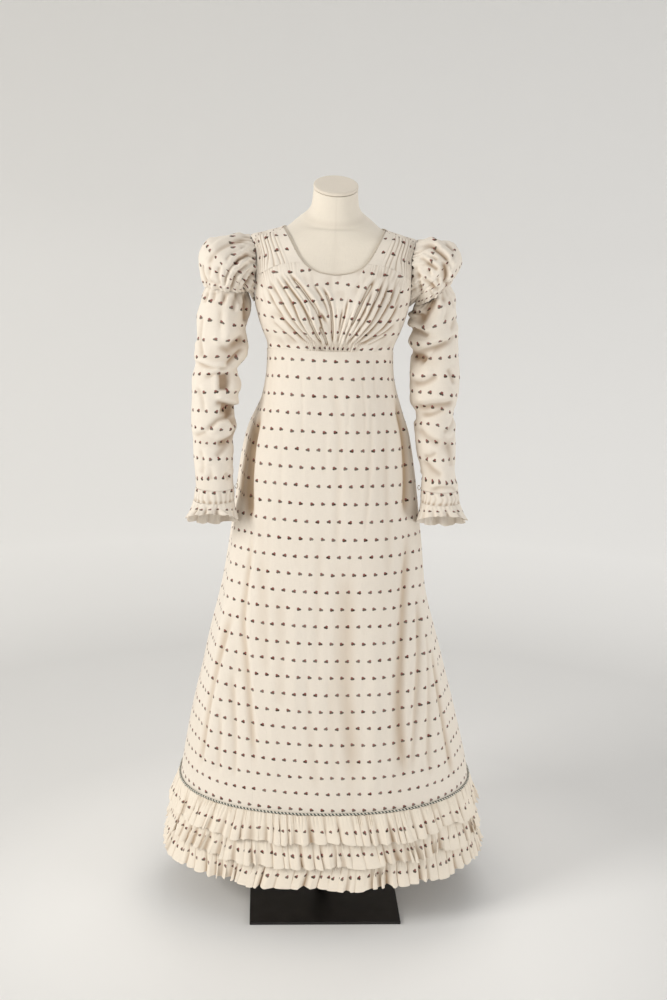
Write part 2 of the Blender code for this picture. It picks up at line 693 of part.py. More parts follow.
def skirt_outline(z):
    """Half a ring of the skirt's inner face from centre front to centre back, with its arc lengths."""
    row = section(SKIRT, z)
    points, arcs = [], [0.0]
    for i in range(RING_STEPS + 1):
        angle = pi * i / RING_STEPS
        x = row.half_width * power(sin(angle), 2 / row.roundness)
        deep = power(cos(angle), 2 / row.roundness)
        y = row.mid_y - (row.front if deep > 0 else row.back) * deep
        points.append(Vector((x, y, z)))
        if i:
            arcs.append(arcs[-1] + (points[-1] - points[-2]).length)
    return row, points, arcs


@lru_cache(maxsize=None)
def outline_at(z):
    """The outline at a height, worked out once."""
    return skirt_outline(z)


def skirt_base(arc, z):
    """The plain skirt's point and outward normal at a signed arc from the centre front."""
    row, points, arcs = outline_at(z)
    side = 1 if arc >= 0 else -1
    reach = min(abs(arc), arcs[-1])
    low, high = 0, len(arcs) - 1
    while high - low > 1:
        middle = (low + high) // 2
        if arcs[middle] <= reach:
            low = middle
        else:
            high = middle
    share = (reach - arcs[low]) / (arcs[high] - arcs[low])
    point = points[low].lerp(points[high], share)
    step = points[min(high + 2, RING_STEPS)] - points[max(low - 2, 0)]
    normal = Vector((-step.y, step.x, 0)) * -1
    normal.normalize()
    return (Vector((side * point.x + row.mid_x, point.y, z)), Vector((side * normal.x, normal.y, 0)))


def skirt_drape(arc, z):
    """The folds of the skirt: how far it stands out from its plain rings."""
    out = 0.0
    for fold in FOLDS:
        run = clamp((fold.z_top - z) / (fold.z_top - fold.z_bottom))
        centre = fold.arc_top + (fold.arc_bottom - fold.arc_top) * run
        fade = smoothstep(fold.z_top, fold.z_full, z) * smoothstep(fold.z_bottom, fold.z_bottom + 0.12, z)
        out += fold.height * fade * exp(-((arc - centre) ** 2) / (2 * fold.width ** 2))
    row, _, arcs = outline_at(z)
    back = clamp((abs(arc) - row.gore_arc) / (arcs[-1] - row.gore_arc))
    if back > 0.0:
        fade = smoothstep(0.26, 0.40, z) * (0.35 + 0.65 * smoothstep(1.11, 0.98, z))
        swell = 0.0050 * fade * smoothstep(0.0, 0.12, back)
        out += swell * (1.0 - cos(pi * BACK_FOLDS * back))
    return out


def skirt_top(arc):
    """World height of the skirt's upper edge."""
    point, _ = skirt_base(arc, WAIST_LOW)
    local = Vector((point.x - LEAN_PIVOT.x, point.y, WAIST_LOW + waist_rise(point) - 4 * SEAM))
    return lean(local).z


def skirt_panel(name, arc_at, columns):
    """One panel of the skirt, from the waist to the hem; arc_at(share, z) is a share's arc at a height."""
    grid = []
    for j in range(SKIRT_ROWS + 1):
        down = (1 - j / SKIRT_ROWS) ** ROW_CROWDING
        row = []
        for i in range(columns + 1):
            share = i / columns
            top = skirt_top(arc_at(share, WAIST_LOW))
            z = top + (SKIRT_HEM - top) * down
            arc = arc_at(share, z)
            base, normal = skirt_base(arc, z)
            row.append(base + normal * skirt_drape(arc, z))
        grid.append(row)
    cloth(name, grid)


def build_skirt():
    """A flat front panel, a gore at each side and a gathered back."""
    gap = SEAM / 2

    def half(z):
        return outline_at(z)[2][-1]

    def gore(z):
        return outline_at(z)[0].gore_arc

    def between(low, high, share):
        return low + (high - low) * share

    def back_arc(share, z):
        # half runs backwards from the left seam to the centre back, half on to the right seam
        reach = between(gore(z) + gap, half(z), 1 - abs(2 * share - 1))
        return reach if share <= 0.5 else -reach

    seam = FRONT_HALF_WIDTH
    skirt_panel("skirt_front", lambda share, z: between(-seam + gap, seam - gap, share), 18)
    skirt_panel("skirt_side_left", lambda share, z: between(seam + gap, gore(z) - gap, share), 7)
    skirt_panel("skirt_side_right", lambda share, z: between(-gore(z) + gap, -seam - gap, share), 7)
    skirt_panel("skirt_back", back_arc, BACK_FOLDS * COLUMNS_PER_WAVE)


def round_arc(share, z):
    """The signed arc of a share of a whole turn, starting and ending at the centre back."""
    half = outline_at(z)[2][-1]
    return half * (2 * share - 1)


def build_flounces():
    """Three gathered flounces, each hanging over the top of the next."""
    columns = FLOUNCE_WAVES * COLUMNS_PER_WAVE
    for flounce in FLOUNCES:
        grid = []
        for v in (1.0, 0.45, 0.0):
            row = []
            for i in range(columns):
                share = i / columns
                turn = 2 * pi * (FLOUNCE_WAVES * share + flounce.phase + 0.22 * sin(2 * pi * 5 * share))
                wave = flounce.wave_top + (flounce.wave_bottom - flounce.wave_top) * v
                stand = flounce.stand_top + (flounce.stand_bottom - flounce.stand_top) * v
                z = flounce.top + (flounce.bottom - flounce.top) * v + 0.0016 * v * cos(turn)
                base, normal = skirt_base(round_arc(share, z), z)
                row.append(base + normal * (stand + wave * sin(turn)))
            grid.append(row)
        cloth(flounce.name, grid, closed=True)


def build_hem_cord():
    """The fine cord that covers the first flounce's gathered edge."""
    count = 60
    points = []
    for i in range(count):
        base, normal = skirt_base(round_arc(i / count, TRIM_HEIGHT), TRIM_HEIGHT)
        points.append(base + normal * (WALL + 0.0009 + TRIM_RADIUS))
    tube("hem_cord", points, TRIM_RADIUS, "trim_cord")


# The sleeves

def ring_points(ring, side, columns, wave=0.0, waves=0, phase=0.0, slant=0.0):
    """Points round a swept ring, starting at its outer or upper end, for a side of -1 or 1."""
    tilt = radians(ring.tilt)
    across = Vector((sin(tilt), 0.0, cos(tilt)))
    points = []
    for i in range(columns):
        angle = 2 * pi * i / columns
        swell = 1.0 + wave * sin(waves * angle + phase)
        y = -ring.half_depth * sin(angle) * swell
        x = ring.half_across * cos(angle) * swell
        point = Vector((ring.mid_x, ring.mid_y + y, ring.mid_z)) + across * x
        point.z += -slant * y
        points.append(Vector((side * point.x, point.y, point.z)))
    return points if side < 0 else points[::-1]


def armhole_ring(side, columns):
    """The puff's first ring, on the skin just inside the armhole's edge."""
    points = []
    for i in range(columns):
        guide = armhole_guide(360 * i / columns, -PUFF_INSET)
        base = skin(guide)
        core = Vector((guide.x * CORE_SHARE, 0.0, min(guide.z, SKIN_CORE_TOP)))
        point = base + (base - core).normalized() * (EASE + 0.0006)
        points.append(lean(Vector((side * point.x, point.y, point.z))))
    return points if side < 0 else points[::-1]


def build_puff(name, side, rings):
    """The full puff at a sleeve's head, gathered into the armhole and into the sleeve."""
    columns = PUFF_GATHERS * 4
    swells = [0.05, 0.05, 0.04, 0.05, 0.02]
    grid = [armhole_ring(side, columns)]
    for ring, swell in zip(rings, swells):
        grid.append(ring_points(ring, side, columns, swell, PUFF_GATHERS, 0.6))
    cloth(name, grid[::-1], closed=True)


def build_sleeve(name, side, rings):
    """The long sleeve below the puff, in soft bulges down to the wrist."""
    grid = [ring_points(ring, side, 14) for ring in rings]
    cloth(name, grid[::-1], closed=True)


def build_cuff(suffix, side, wrist):
    """The drawn wrist, its frill and its thread tie."""
    middle = CUFF_BOTTOM + (CUFF_TOP - CUFF_BOTTOM) * 0.5
    band = []
    for z, grow in ((CUFF_TOP - 0.0004, 0.0), (middle, 0.0010), (CUFF_BOTTOM, 0.0022)):
        forward = FRILL_DROP * 0.35 * (CUFF_TOP - z) / (CUFF_TOP - CUFF_BOTTOM)
        band.append(ring_points(wrist._replace(
            mid_z=z, mid_x=wrist.mid_x + 0.3 * forward, mid_y=wrist.mid_y - forward,
            half_across=wrist.half_across + grow, half_depth=wrist.half_depth + grow), side, 16))
    cloth("cuff_band_" + suffix, band[::-1], closed=True)
    columns = FRILL_WAVES * COLUMNS_PER_WAVE
    frill = []
    for v in (0.0, 0.5, 1.0):
        z = CUFF_BOTTOM - 3 * SEAM + (FRILL_BOTTOM - CUFF_BOTTOM) * v
        forward = FRILL_DROP * (0.35 + 0.65 * v)
        grow = 0.0022 + FRILL_FLARE * v ** 1.2
        ring = wrist._replace(
            mid_z=z, mid_x=wrist.mid_x + 0.45 * forward, mid_y=wrist.mid_y - forward,
            half_across=wrist.half_across + grow, half_depth=wrist.half_depth + grow)
        wave = FRILL_WAVE / 0.045 * v
        frill.append(ring_points(ring, side, columns, wave, FRILL_WAVES, 0.4, FRILL_SLANT * v))
    cloth("cuff_frill_" + suffix, frill[::-1], closed=True)
    tie = []
    radius = 0.0008
    inner = wrist.mid_x - wrist.half_across - WALL - SEAM - radius
    start = Vector((side * inner, wrist.mid_y, CUFF_TOP + 0.0030))
    for inwards, forward, up in TIE_LOOP:
        tie.append(start + Vector((-side * inwards, -forward, up)))
    tube("cuff_tie_" + suffix, tie, radius, "cotton", closed=False)


def build_sleeves():
    """Both sleeves, each with its own hang."""
    for suffix, side, puff, sleeve in (("right", -1, PUFF_RIGHT, SLEEVE_RIGHT),
                                       ("left", 1, PUFF_LEFT, SLEEVE_LEFT)):
        build_puff("puff_" + suffix, side, puff)
        build_sleeve("sleeve_" + suffix, side, sleeve)
        build_cuff(suffix, side, sleeve[-1])


def main():
    """Builds the stand, the form and the gown."""
    clear_scene()
    build_stand()
    build_form()
    build_bodice_front()
    build_straps()
    build_backs()
    build_side_bodies()
    build_neck_binding()
    build_waistband()
    build_skirt()
    build_flounces()
    build_hem_cord()
    build_sleeves()


main()
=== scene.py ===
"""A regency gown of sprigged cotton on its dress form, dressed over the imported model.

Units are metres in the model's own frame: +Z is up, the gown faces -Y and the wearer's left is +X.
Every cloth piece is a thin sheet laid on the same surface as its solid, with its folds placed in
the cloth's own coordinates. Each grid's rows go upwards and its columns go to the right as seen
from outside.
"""

import logging
from collections.abc import Callable, Sequence
from dataclasses import dataclass, replace
from enum import Enum
from math import pi, radians

import bpy
import numpy as np
from mathutils import Matrix, Vector

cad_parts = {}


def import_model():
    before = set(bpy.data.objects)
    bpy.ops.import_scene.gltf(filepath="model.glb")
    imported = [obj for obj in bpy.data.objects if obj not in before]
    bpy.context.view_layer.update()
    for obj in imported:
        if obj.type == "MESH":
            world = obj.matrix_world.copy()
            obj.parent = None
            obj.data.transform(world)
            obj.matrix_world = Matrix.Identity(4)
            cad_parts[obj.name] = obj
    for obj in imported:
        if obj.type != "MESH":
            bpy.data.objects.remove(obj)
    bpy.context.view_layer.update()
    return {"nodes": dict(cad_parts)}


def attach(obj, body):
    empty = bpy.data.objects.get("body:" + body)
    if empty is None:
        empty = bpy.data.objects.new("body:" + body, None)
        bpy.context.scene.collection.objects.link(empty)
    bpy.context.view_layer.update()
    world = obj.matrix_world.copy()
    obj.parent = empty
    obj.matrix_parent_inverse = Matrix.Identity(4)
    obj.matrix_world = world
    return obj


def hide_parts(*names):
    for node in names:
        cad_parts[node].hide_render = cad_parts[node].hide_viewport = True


Array = np.ndarray
Colour = tuple[float, float, float, float]
Material = bpy.types.Material
Path = tuple[tuple[float, float], ...]
Piece = bpy.types.Object
Place = tuple[float, float, float]
Socket = bpy.types.NodeSocket
Table = tuple[tuple[float, ...], ...]
LOG = logging.getLogger("gown")

MM_PER_M = 1000
CLOTH_THICKNESS = 0.0004      # cotton lawn with its finish
STAND = 0.0019                # how far the gown's outer face lies off the form's skin
LEAN = radians(1.0)           # the form leans this much to the wearer's left
LEAN_PIVOT = np.array((-0.006, 0.0, 1.125))
SIDEWAYS = np.array((1.0, 0.0, 0.0))
UPWARDS = np.array((0.0, 0.0, 1.0))
MIRROR = np.array((-1.0, 1.0, 1.0))
LATTICE = 256                 # bumps after which the noise repeats
SMOOTH_CLOTH = radians(65)    # edges of cloth that turn less than this look round
SMOOTH_HARD = radians(50)     # the same for hard pieces


class Side(Enum):
    """The side of the wearer that a piece belongs to, as the sign of its X."""

    RIGHT = -1
    LEFT = 1

    @property
    def word(self) -> str:
        """The side's name as it stands in a piece's name."""
        return self.name.lower()


class Slot(Enum):
    """Slots for the pieces made here."""

    COTTON = "sprigged_cotton"
    CORD = "trim_cord"
    FORM = "form_cloth"


# Shaping helpers


def smoothstep(edge0: float, edge1: float, value: Array | float) -> Array:
    """Eases from 0 at one edge to 1 at the other.

    Args:
        edge0: Value that gives 0.
        edge1: Value that gives 1.
        value: Where to read the step.

    Returns:
        The eased share, in the shape of value.
    """
    share = np.clip((np.asarray(value, float) - edge0) / (edge1 - edge0), 0.0, 1.0)
    return share * share * (3.0 - 2.0 * share)


def bell(value: Array, width: float) -> Array:
    """A bell of height 1 whose half width is about one width."""
    return np.exp(-0.5 * (np.asarray(value, float) / width) ** 2)


def power(value: Array, exponent: Array | float) -> Array:
    """A power that keeps its base's sign."""
    return np.abs(value) ** exponent * np.sign(value)


def unit(vectors: Array) -> Array:
    """Vectors scaled to length 1."""
    return vectors / np.maximum(np.linalg.norm(vectors, axis=-1, keepdims=True), 1e-12)


def hermite(keys: Array, values: Array, at: Array | float) -> Array:
    """Interpolates smoothly through values, without overshoot.

    Args:
        keys: Increasing keys.
        values: One value or one row of values for each key.
        at: Where to read the curve.

    Returns:
        The values there, with at's shape first.
    """
    keys, values = np.asarray(keys, float), np.asarray(values, float)
    at = np.clip(np.asarray(at, float), keys[0], keys[-1])
    flat = values.ndim == 1
    rows = values[:, None] if flat else values
    secant = np.diff(rows, axis=0) / np.diff(keys)[:, None]
    slope = np.zeros_like(rows)
    slope[0], slope[-1] = secant[0], secant[-1]
    product, total = secant[:-1] * secant[1:], secant[:-1] + secant[1:]
    slope[1:-1] = np.where(product > 0.0, 2.0 * product / np.where(product > 0.0, total, 1.0), 0.0)
    i = np.clip(np.searchsorted(keys, at, "right") - 1, 0, len(keys) - 2)
    span = (keys[i + 1] - keys[i])[..., None]
    t = (at - keys[i])[..., None] / span
    found = (
        rows[i] * (1 + 2 * t) * (1 - t) ** 2 + rows[i + 1] * t * t * (3 - 2 * t)
        + slope[i] * span * t * (1 - t) ** 2 + slope[i + 1] * span * t * t * (t - 1)
    )
    return found[..., 0] if flat else found


def noise(across: Array, up: Array, seed: int, wrap: int = LATTICE) -> Array:
    """Smooth seeded noise over a plane, one bump to a unit.

    Args:
        across: First coordinate, in bumps.
        up: Second coordinate, in bumps.
        seed: Picks the pattern.
        wrap: Bumps after which the first coordinate repeats.

    Returns:
        Values from -1 to 1.
    """
    lattice = np.random.default_rng(seed).uniform(-1.0, 1.0, (wrap, LATTICE))
    across, up = np.broadcast_arrays(np.asarray(across, float), np.asarray(up, float))
    i, j = np.floor(across).astype(int), np.floor(up).astype(int)
    s, t = across - i, up - j
    s, t = s * s * (3 - 2 * s), t * t * (3 - 2 * t)
    left, right, low, high = i % wrap, (i + 1) % wrap, j % LATTICE, (j + 1) % LATTICE
    lower = lattice[left, low] * (1 - s) + lattice[right, low] * s
    upper = lattice[left, high] * (1 - s) + lattice[right, high] * s
    return lower * (1 - t) + upper * t


def wave(turns: Array) -> Array:
    """A sine wave, one to a turn."""
    return np.sin(2 * pi * turns)


def ratio(value: Array, low: Array | float, high: Array | float) -> Array:
    """The share of the way from a low value to a high one, kept from 0 to 1."""
    return np.clip((value - low) / (high - low), 0, 1)


def valleys(folds: Array, depth: float) -> Array:
    """How deep in a fold each point lies, from 0 on its ridge to 1, used as painted shade."""
    return np.clip(-folds / depth, 0.0, 1.0)


@dataclass(frozen=True)
class Crease:
    """A soft trough with a ridge beside it.

    Its path is in the cloth's coordinates, in metres. A positive ridge lies to the left of the path
    as it is followed, a negative one to the right; its size is a share of the depth.
    """

    path: Path
    width: float
    depth: float
    ridge: float = 0.6
    fade: tuple[float, float] = (0.22, 0.16)  # shares of its length over which its ends fade in
    steps: int = 5             # straight steps from one point of the path to the next
    reach: float = 5.0         # widths over which it is felt
    ridge_away: float = 2.1    # widths from the path to the ridge
    ridge_width: float = 1.5   # the ridge's width over the trough's

    def height(self, across: Array, up: Array) -> Array:
        """How far the crease lifts the cloth.

        Args:
            across: First coordinate of each point.
            up: Second coordinate of each point.

        Returns:
            Heights, negative in the trough.
        """
        last = len(self.path) - 1
        places = np.linspace(0, last, self.steps * last + 1)
        line = hermite(np.arange(last + 1), np.array(self.path), places)
        reach = self.reach * self.width
        low, high = line.min(0) - reach, line.max(0) + reach
        near = (across > low[0]) & (across < high[0]) & (up > low[1]) & (up < high[1])
        found = np.zeros_like(across)
        if not near.any():
            return found
        spot = np.stack((across[near], up[near]), -1)
        steps = np.diff(line, axis=0)
        lengths = np.hypot(steps[:, 0], steps[:, 1])
        starts = np.concatenate(([0.0], np.cumsum(lengths)))
        best = np.full(len(spot), np.inf)
        signed, place = np.zeros(len(spot)), np.zeros(len(spot))
        for start, step, length, done in zip(line, steps, lengths, starts):
            share = np.clip(((spot - start) @ step) / length ** 2, 0.0, 1.0)
            off = spot - start - share[:, None] * step
            away = np.hypot(off[:, 0], off[:, 1])
            closer = away < best
            best = np.where(closer, away, best)
            turn = np.sign(step[0] * off[:, 1] - step[1] * off[:, 0])
            signed = np.where(closer, away * turn, signed)
            place = np.where(closer, (done + share * length) / starts[-1], place)
        shape = -bell(signed, self.width)
        if self.ridge:
            centre = self.ridge_away * self.width * np.sign(self.ridge)
            shape = shape + abs(self.ridge) * bell(signed - centre, self.ridge_width * self.width)
        for share, ends in zip(self.fade, (place, 1.0 - place)):
            shape = shape * smoothstep(0.0, share, ends)
        found[near] = self.depth * shape
        return found


def creases(*rows: tuple) -> tuple[Crease, ...]:
    """Creases placed one by one.

    Args:
        rows: For each crease its width, depth and ridge, then the points of its path. All but the
            ridge are in millimetres.

    Returns:
        The creases, in metres.
    """
    made = []
    for width, depth, ridge, *path in rows:
        points = tuple((across / MM_PER_M, up / MM_PER_M) for across, up in path)
        made.append(Crease(points, width / MM_PER_M, depth / MM_PER_M, ridge))
    return tuple(made)


def creased(placed: Sequence[Crease], across: Array, up: Array) -> Array:
    """The heights of several creases added up, at points of the cloth."""
    return sum((crease.height(across, up) for crease in placed), np.zeros_like(across))


def creased_round(placed: Sequence[Crease], grid: Array, axis: float, drop: float = 0.014,
                  blend: float = 0.25) -> Array:
    """The heights of creases on a tube: those of its front come again, turned over, on its back.

    Args:
        placed: Creases over X and Z, as seen from the front.
        grid: The tube's points.
        axis: X of the tube's middle.
        drop: How much lower they lie on the back.
        blend: How far round the side front and back run into each other, as a normal's Y.

    Returns:
        A height for each point.
    """
    x, z = grid[..., 0], grid[..., 2]
    behind = smoothstep(-blend, blend, grid_normals(grid, True)[..., 1])
    front = creased(placed, x, z)
    back = creased(placed, 2 * axis - x, z - drop)
    return front * (1 - behind) + back * behind


def grid_normals(grid: Array, closed: bool) -> Array:
    """Outward normals of a grid of points.

    Args:
        grid: Points by row and column.
        closed: Whether the last column lies on the first.

    Returns:
        A unit normal for each point.
    """
    if closed:
        wide = np.concatenate((grid[:, -2:-1], grid, grid[:, 1:2]), axis=1)
        right = wide[:, 2:] - wide[:, :-2]
    else:
        right = np.gradient(grid, axis=1)
    return unit(np.cross(right, np.gradient(grid, axis=0)))


def lifted(grid: Array, heights: Array | float, closed: bool = False) -> Array:
    """A grid moved out along its normals by a height at each point."""
    return grid + grid_normals(grid, closed) * np.broadcast_to(heights, grid.shape[:2])[..., None]


def lengths_up(grid: Array) -> Array:
    """How far each point lies up its own column, measured over the cloth."""
    steps = np.linalg.norm(np.diff(grid, axis=0), axis=-1)
    return np.concatenate((np.zeros((1, grid.shape[1])), np.cumsum(steps, axis=0)))


def lengths_along(path: Array) -> Array:
    """How far each point lies along a path."""
    return np.concatenate(([0.0], np.cumsum(np.linalg.norm(np.diff(path, axis=0), axis=-1))))


def coons(bottom: Array, top: Array, left: Array, right: Array) -> Array:
    """A patch between four edge curves.

    Args:
        bottom: Points of the lower edge, left to right.
        top: Points of the upper edge, left to right.
        left: Points of the left edge, upwards.
        right: Points of the right edge, upwards.

    Returns:
        Points by row and column.
    """
    u = np.linspace(0, 1, len(bottom))[None, :, None]
    v = np.linspace(0, 1, len(left))[:, None, None]
    across = bottom[None] * (1 - v) + top[None] * v + left[:, None] * (1 - u) + right[:, None] * u
    low, high = (edge[0] * (1 - u) + edge[-1] * u for edge in (bottom, top))
    return across - (low * (1 - v) + high * v)


def leaning(points: Array) -> Array:
    """Points of the form's own upright frame in their leaning place."""
    spot = points - LEAN_PIVOT + SIDEWAYS * LEAN_PIVOT[0]
    x = spot[..., 0] * np.cos(LEAN) + spot[..., 2] * np.sin(LEAN)
    z = spot[..., 2] * np.cos(LEAN) - spot[..., 0] * np.sin(LEAN)
    return LEAN_PIVOT + np.stack((x, spot[..., 1], z), -1)


def mirrored(grid: Array) -> Array:
    """A grid for the wearer's right from the one for the left."""
    return grid[:, ::-1] * MIRROR


# Making pieces


def deselect() -> None:
    """Leaves nothing selected, because operators act on all that is."""
    if bpy.context.object and bpy.context.object.mode != "OBJECT":
        bpy.ops.object.mode_set(mode="OBJECT")
    bpy.ops.object.select_all(action="DESELECT")


@dataclass
class Cut:
    """Cloth before it is sewn: where its grid's points lie, and on which spots of the cloth."""

    points: Array
    spots: Array
    closed: bool = False
    # how much painted shade each point gets, from 0 to 1
    valley: Array | None = None

    def area(self) -> float:
        """The area of the cloth as it hangs."""
        up = self.points[1:, :-1] - self.points[:-1, :-1]
        right = self.points[:-1, 1:] - self.points[:-1, :-1]
        return float(np.linalg.norm(np.cross(right, up), axis=-1).sum())

    def sew(self, name: str, thickness: float = CLOTH_THICKNESS, round_ends: bool = False) -> Piece:
        """Makes the piece's mesh.

        Args:
            name: The piece's name.
            thickness: Thickness of the cloth, or 0 for a closed skin such as a cord's.
            round_ends: Whether the first row lies on the last too.

        Returns:
            The piece, a closed mesh that faces outwards.
        """
        rows, columns = self.points.shape[0] - 1, self.points.shape[1] - 1
        LOG.info("%s: %.4f m2 as it hangs", name, self.area())
        deselect()
        bpy.ops.mesh.primitive_grid_add(x_subdivisions=columns, y_subdivisions=rows, size=1.0)
        piece = bpy.context.object
        piece.name = piece.data.name = name
        mesh = piece.data
        flat = np.empty(len(mesh.vertices) * 3)
        mesh.vertices.foreach_get("co", flat)
        flat = flat.reshape(-1, 3)
        i = np.rint((flat[:, 0] + 0.5) * columns).astype(int)
        j = np.rint((flat[:, 1] + 0.5) * rows).astype(int)
        mesh.vertices.foreach_set("co", self.points[j, i].astype(np.float32).ravel())
        corners = np.empty(len(mesh.loops), int)
        mesh.loops.foreach_get("vertex_index", corners)
        layer = mesh.uv_layers.active or mesh.uv_layers.new()
        layer.name = "cloth"
        layer.data.foreach_set("uv", self.spots[j, i][corners].astype(np.float32).ravel())
        # the painted shade goes with the mesh as a point attribute, for the material to read
        shade = mesh.attributes.new("valley", "FLOAT", "POINT")
        depth = np.zeros(self.points.shape[:2]) if self.valley is None else self.valley
        shade.data.foreach_set("value", depth[j, i].astype(np.float32))
        if self.closed:
            bpy.ops.object.mode_set(mode="EDIT")
            bpy.ops.mesh.select_all(action="SELECT")
            bpy.ops.mesh.remove_doubles(threshold=1e-6)
            if round_ends:
                bpy.ops.mesh.normals_make_consistent(inside=False)
            bpy.ops.object.mode_set(mode="OBJECT")
        if thickness:
            wall = piece.modifiers.new("thickness", "SOLIDIFY")
            wall.thickness = thickness
            wall.offset = -1.0
            bpy.ops.object.modifier_apply(modifier=wall.name)
        bpy.ops.object.shade_smooth_by_angle(angle=SMOOTH_CLOTH)
        return piece


def tube(path: Array, radius: float, sides: int, closed: bool = True) -> Cut:
    """A cord along a path.

    Args:
        path: Points of its centre line.
        radius: The cord's radius.
        sides: Points round it.
        closed: Whether the path comes back to its start.

    Returns:
        Its grid, with rows along the cord and spots that run (round, along).
    """
    if closed:
        path = np.concatenate((path, path[:1]))
        ahead = np.concatenate((path[1:], path[1:2]))
        behind = np.concatenate((path[-2:-1], path[:-1]))
        forward = unit(ahead - behind)
    else:
        forward = unit(np.gradient(path, axis=0))
    side = unit(np.cross(forward, UPWARDS + 0.001 * SIDEWAYS))
    over = np.cross(side, forward)
    turn = np.linspace(0, 2 * pi, sides + 1)
    ring = np.cos(turn)[None, :, None] * side[:, None] + np.sin(turn)[None, :, None] * over[:, None]
    spots = np.stack(np.broadcast_arrays(turn[None] * radius, lengths_along(path)[:, None]), -1)
    return Cut(path[:, None] + radius * ring, spots, True)


def capped(piece: Piece) -> Piece:
    """Closes a piece's open ends."""
    deselect()
    bpy.context.view_layer.objects.active = piece
    piece.select_set(True)
    bpy.ops.object.mode_set(mode="EDIT")
    bpy.ops.mesh.select_all(action="SELECT")
    bpy.ops.mesh.fill_holes(sides=0)
    bpy.ops.mesh.select_all(action="SELECT")
    bpy.ops.mesh.normals_make_consistent(inside=False)
    bpy.ops.object.mode_set(mode="OBJECT")
    bpy.ops.object.shade_smooth_by_angle(angle=SMOOTH_HARD)
    return piece


# Materials


class Nodes:
    """A node tree that is filled in by short calls."""

    def __init__(self, tree: bpy.types.NodeTree) -> None:
        """Takes the tree to fill in."""
        self.tree = tree

    def add(self, kind: str, values: dict[str | int, object] | None = None,
            **settings: object) -> bpy.types.Node:
        """Adds a node.

        Args:
            kind: Its type, without the ShaderNode that every name starts with.
            values: What goes into its inputs: sockets are linked, and other values are set.
            settings: The node's own settings.

        Returns:
            The node.
        """
        node = self.tree.nodes.new(kind if kind.startswith("Node") else "ShaderNode" + kind)
        for name, setting in settings.items():
            setattr(node, name, setting)
        for key, value in (values or {}).items():
            self.feed(node.inputs[key], value)
        return node

    def feed(self, target: Socket, value: object) -> None:
        """Links a socket to an input, or sets the input's value."""
        if isinstance(value, Socket):
            self.tree.links.new(value, target)
        else:
            target.default_value = value

    def sum(self, operation: str, *terms: object, clamp: bool = False) -> Socket:
        """A Math node's result for up to three terms."""
        node = self.add("Math", dict(enumerate(terms)), operation=operation, use_clamp=clamp)
        return node.outputs[0]

    def centred(self, value: Socket) -> Socket:
        """A value from 0 to 1 brought to lie evenly round 0."""
        return self.sum("SUBTRACT", value, 0.5)

    def step(self, value: Socket, low: float, high: float) -> Socket:
        """Eases from 0 at one value to 1 at another."""
        return self.add("MapRange", {0: value, 1: low, 2: high},
                        interpolation_type="SMOOTHSTEP").outputs[0]

    def blend(self, share: object, first: object, second: object, kind: str = "MIX") -> Socket:
        """A colour mixed from two by a share."""
        node = self.add("Mix", data_type="RGBA", blend_type=kind)
        for index, value in ((0, share), (6, first), (7, second)):
            self.feed(node.inputs[index], value)
        return node.outputs[2]

    def bump(self, strength: float, distance: float, height: Socket) -> Socket:
        """A normal turned by a height."""
        values = {"Strength": strength, "Distance": distance, "Height": height}
        return self.add("Bump", values).outputs[0]


def node_group(name: str, inputs: dict[str, float | None],
               outputs: Sequence[str]) -> tuple[Nodes, object, object]:
    """A new shader node group.

    Args:
        name: The group's name.
        inputs: Its inputs with their defaults; None makes a vector.
        outputs: Its outputs, all plain values.

    Returns:
        The group's tree, its input node's outputs and its output node's inputs.
    """
    tree = bpy.data.node_groups.new(name, "ShaderNodeTree")
    for label, default in inputs.items():
        kind = "NodeSocketVector" if default is None else "NodeSocketFloat"
        socket = tree.interface.new_socket(label, in_out="INPUT", socket_type=kind)
        if default is not None:
            socket.default_value = default
    for label in outputs:
        tree.interface.new_socket(label, in_out="OUTPUT", socket_type="NodeSocketFloat")
    nodes = Nodes(tree)
    return nodes, nodes.add("NodeGroupInput").outputs, nodes.add("NodeGroupOutput").inputs


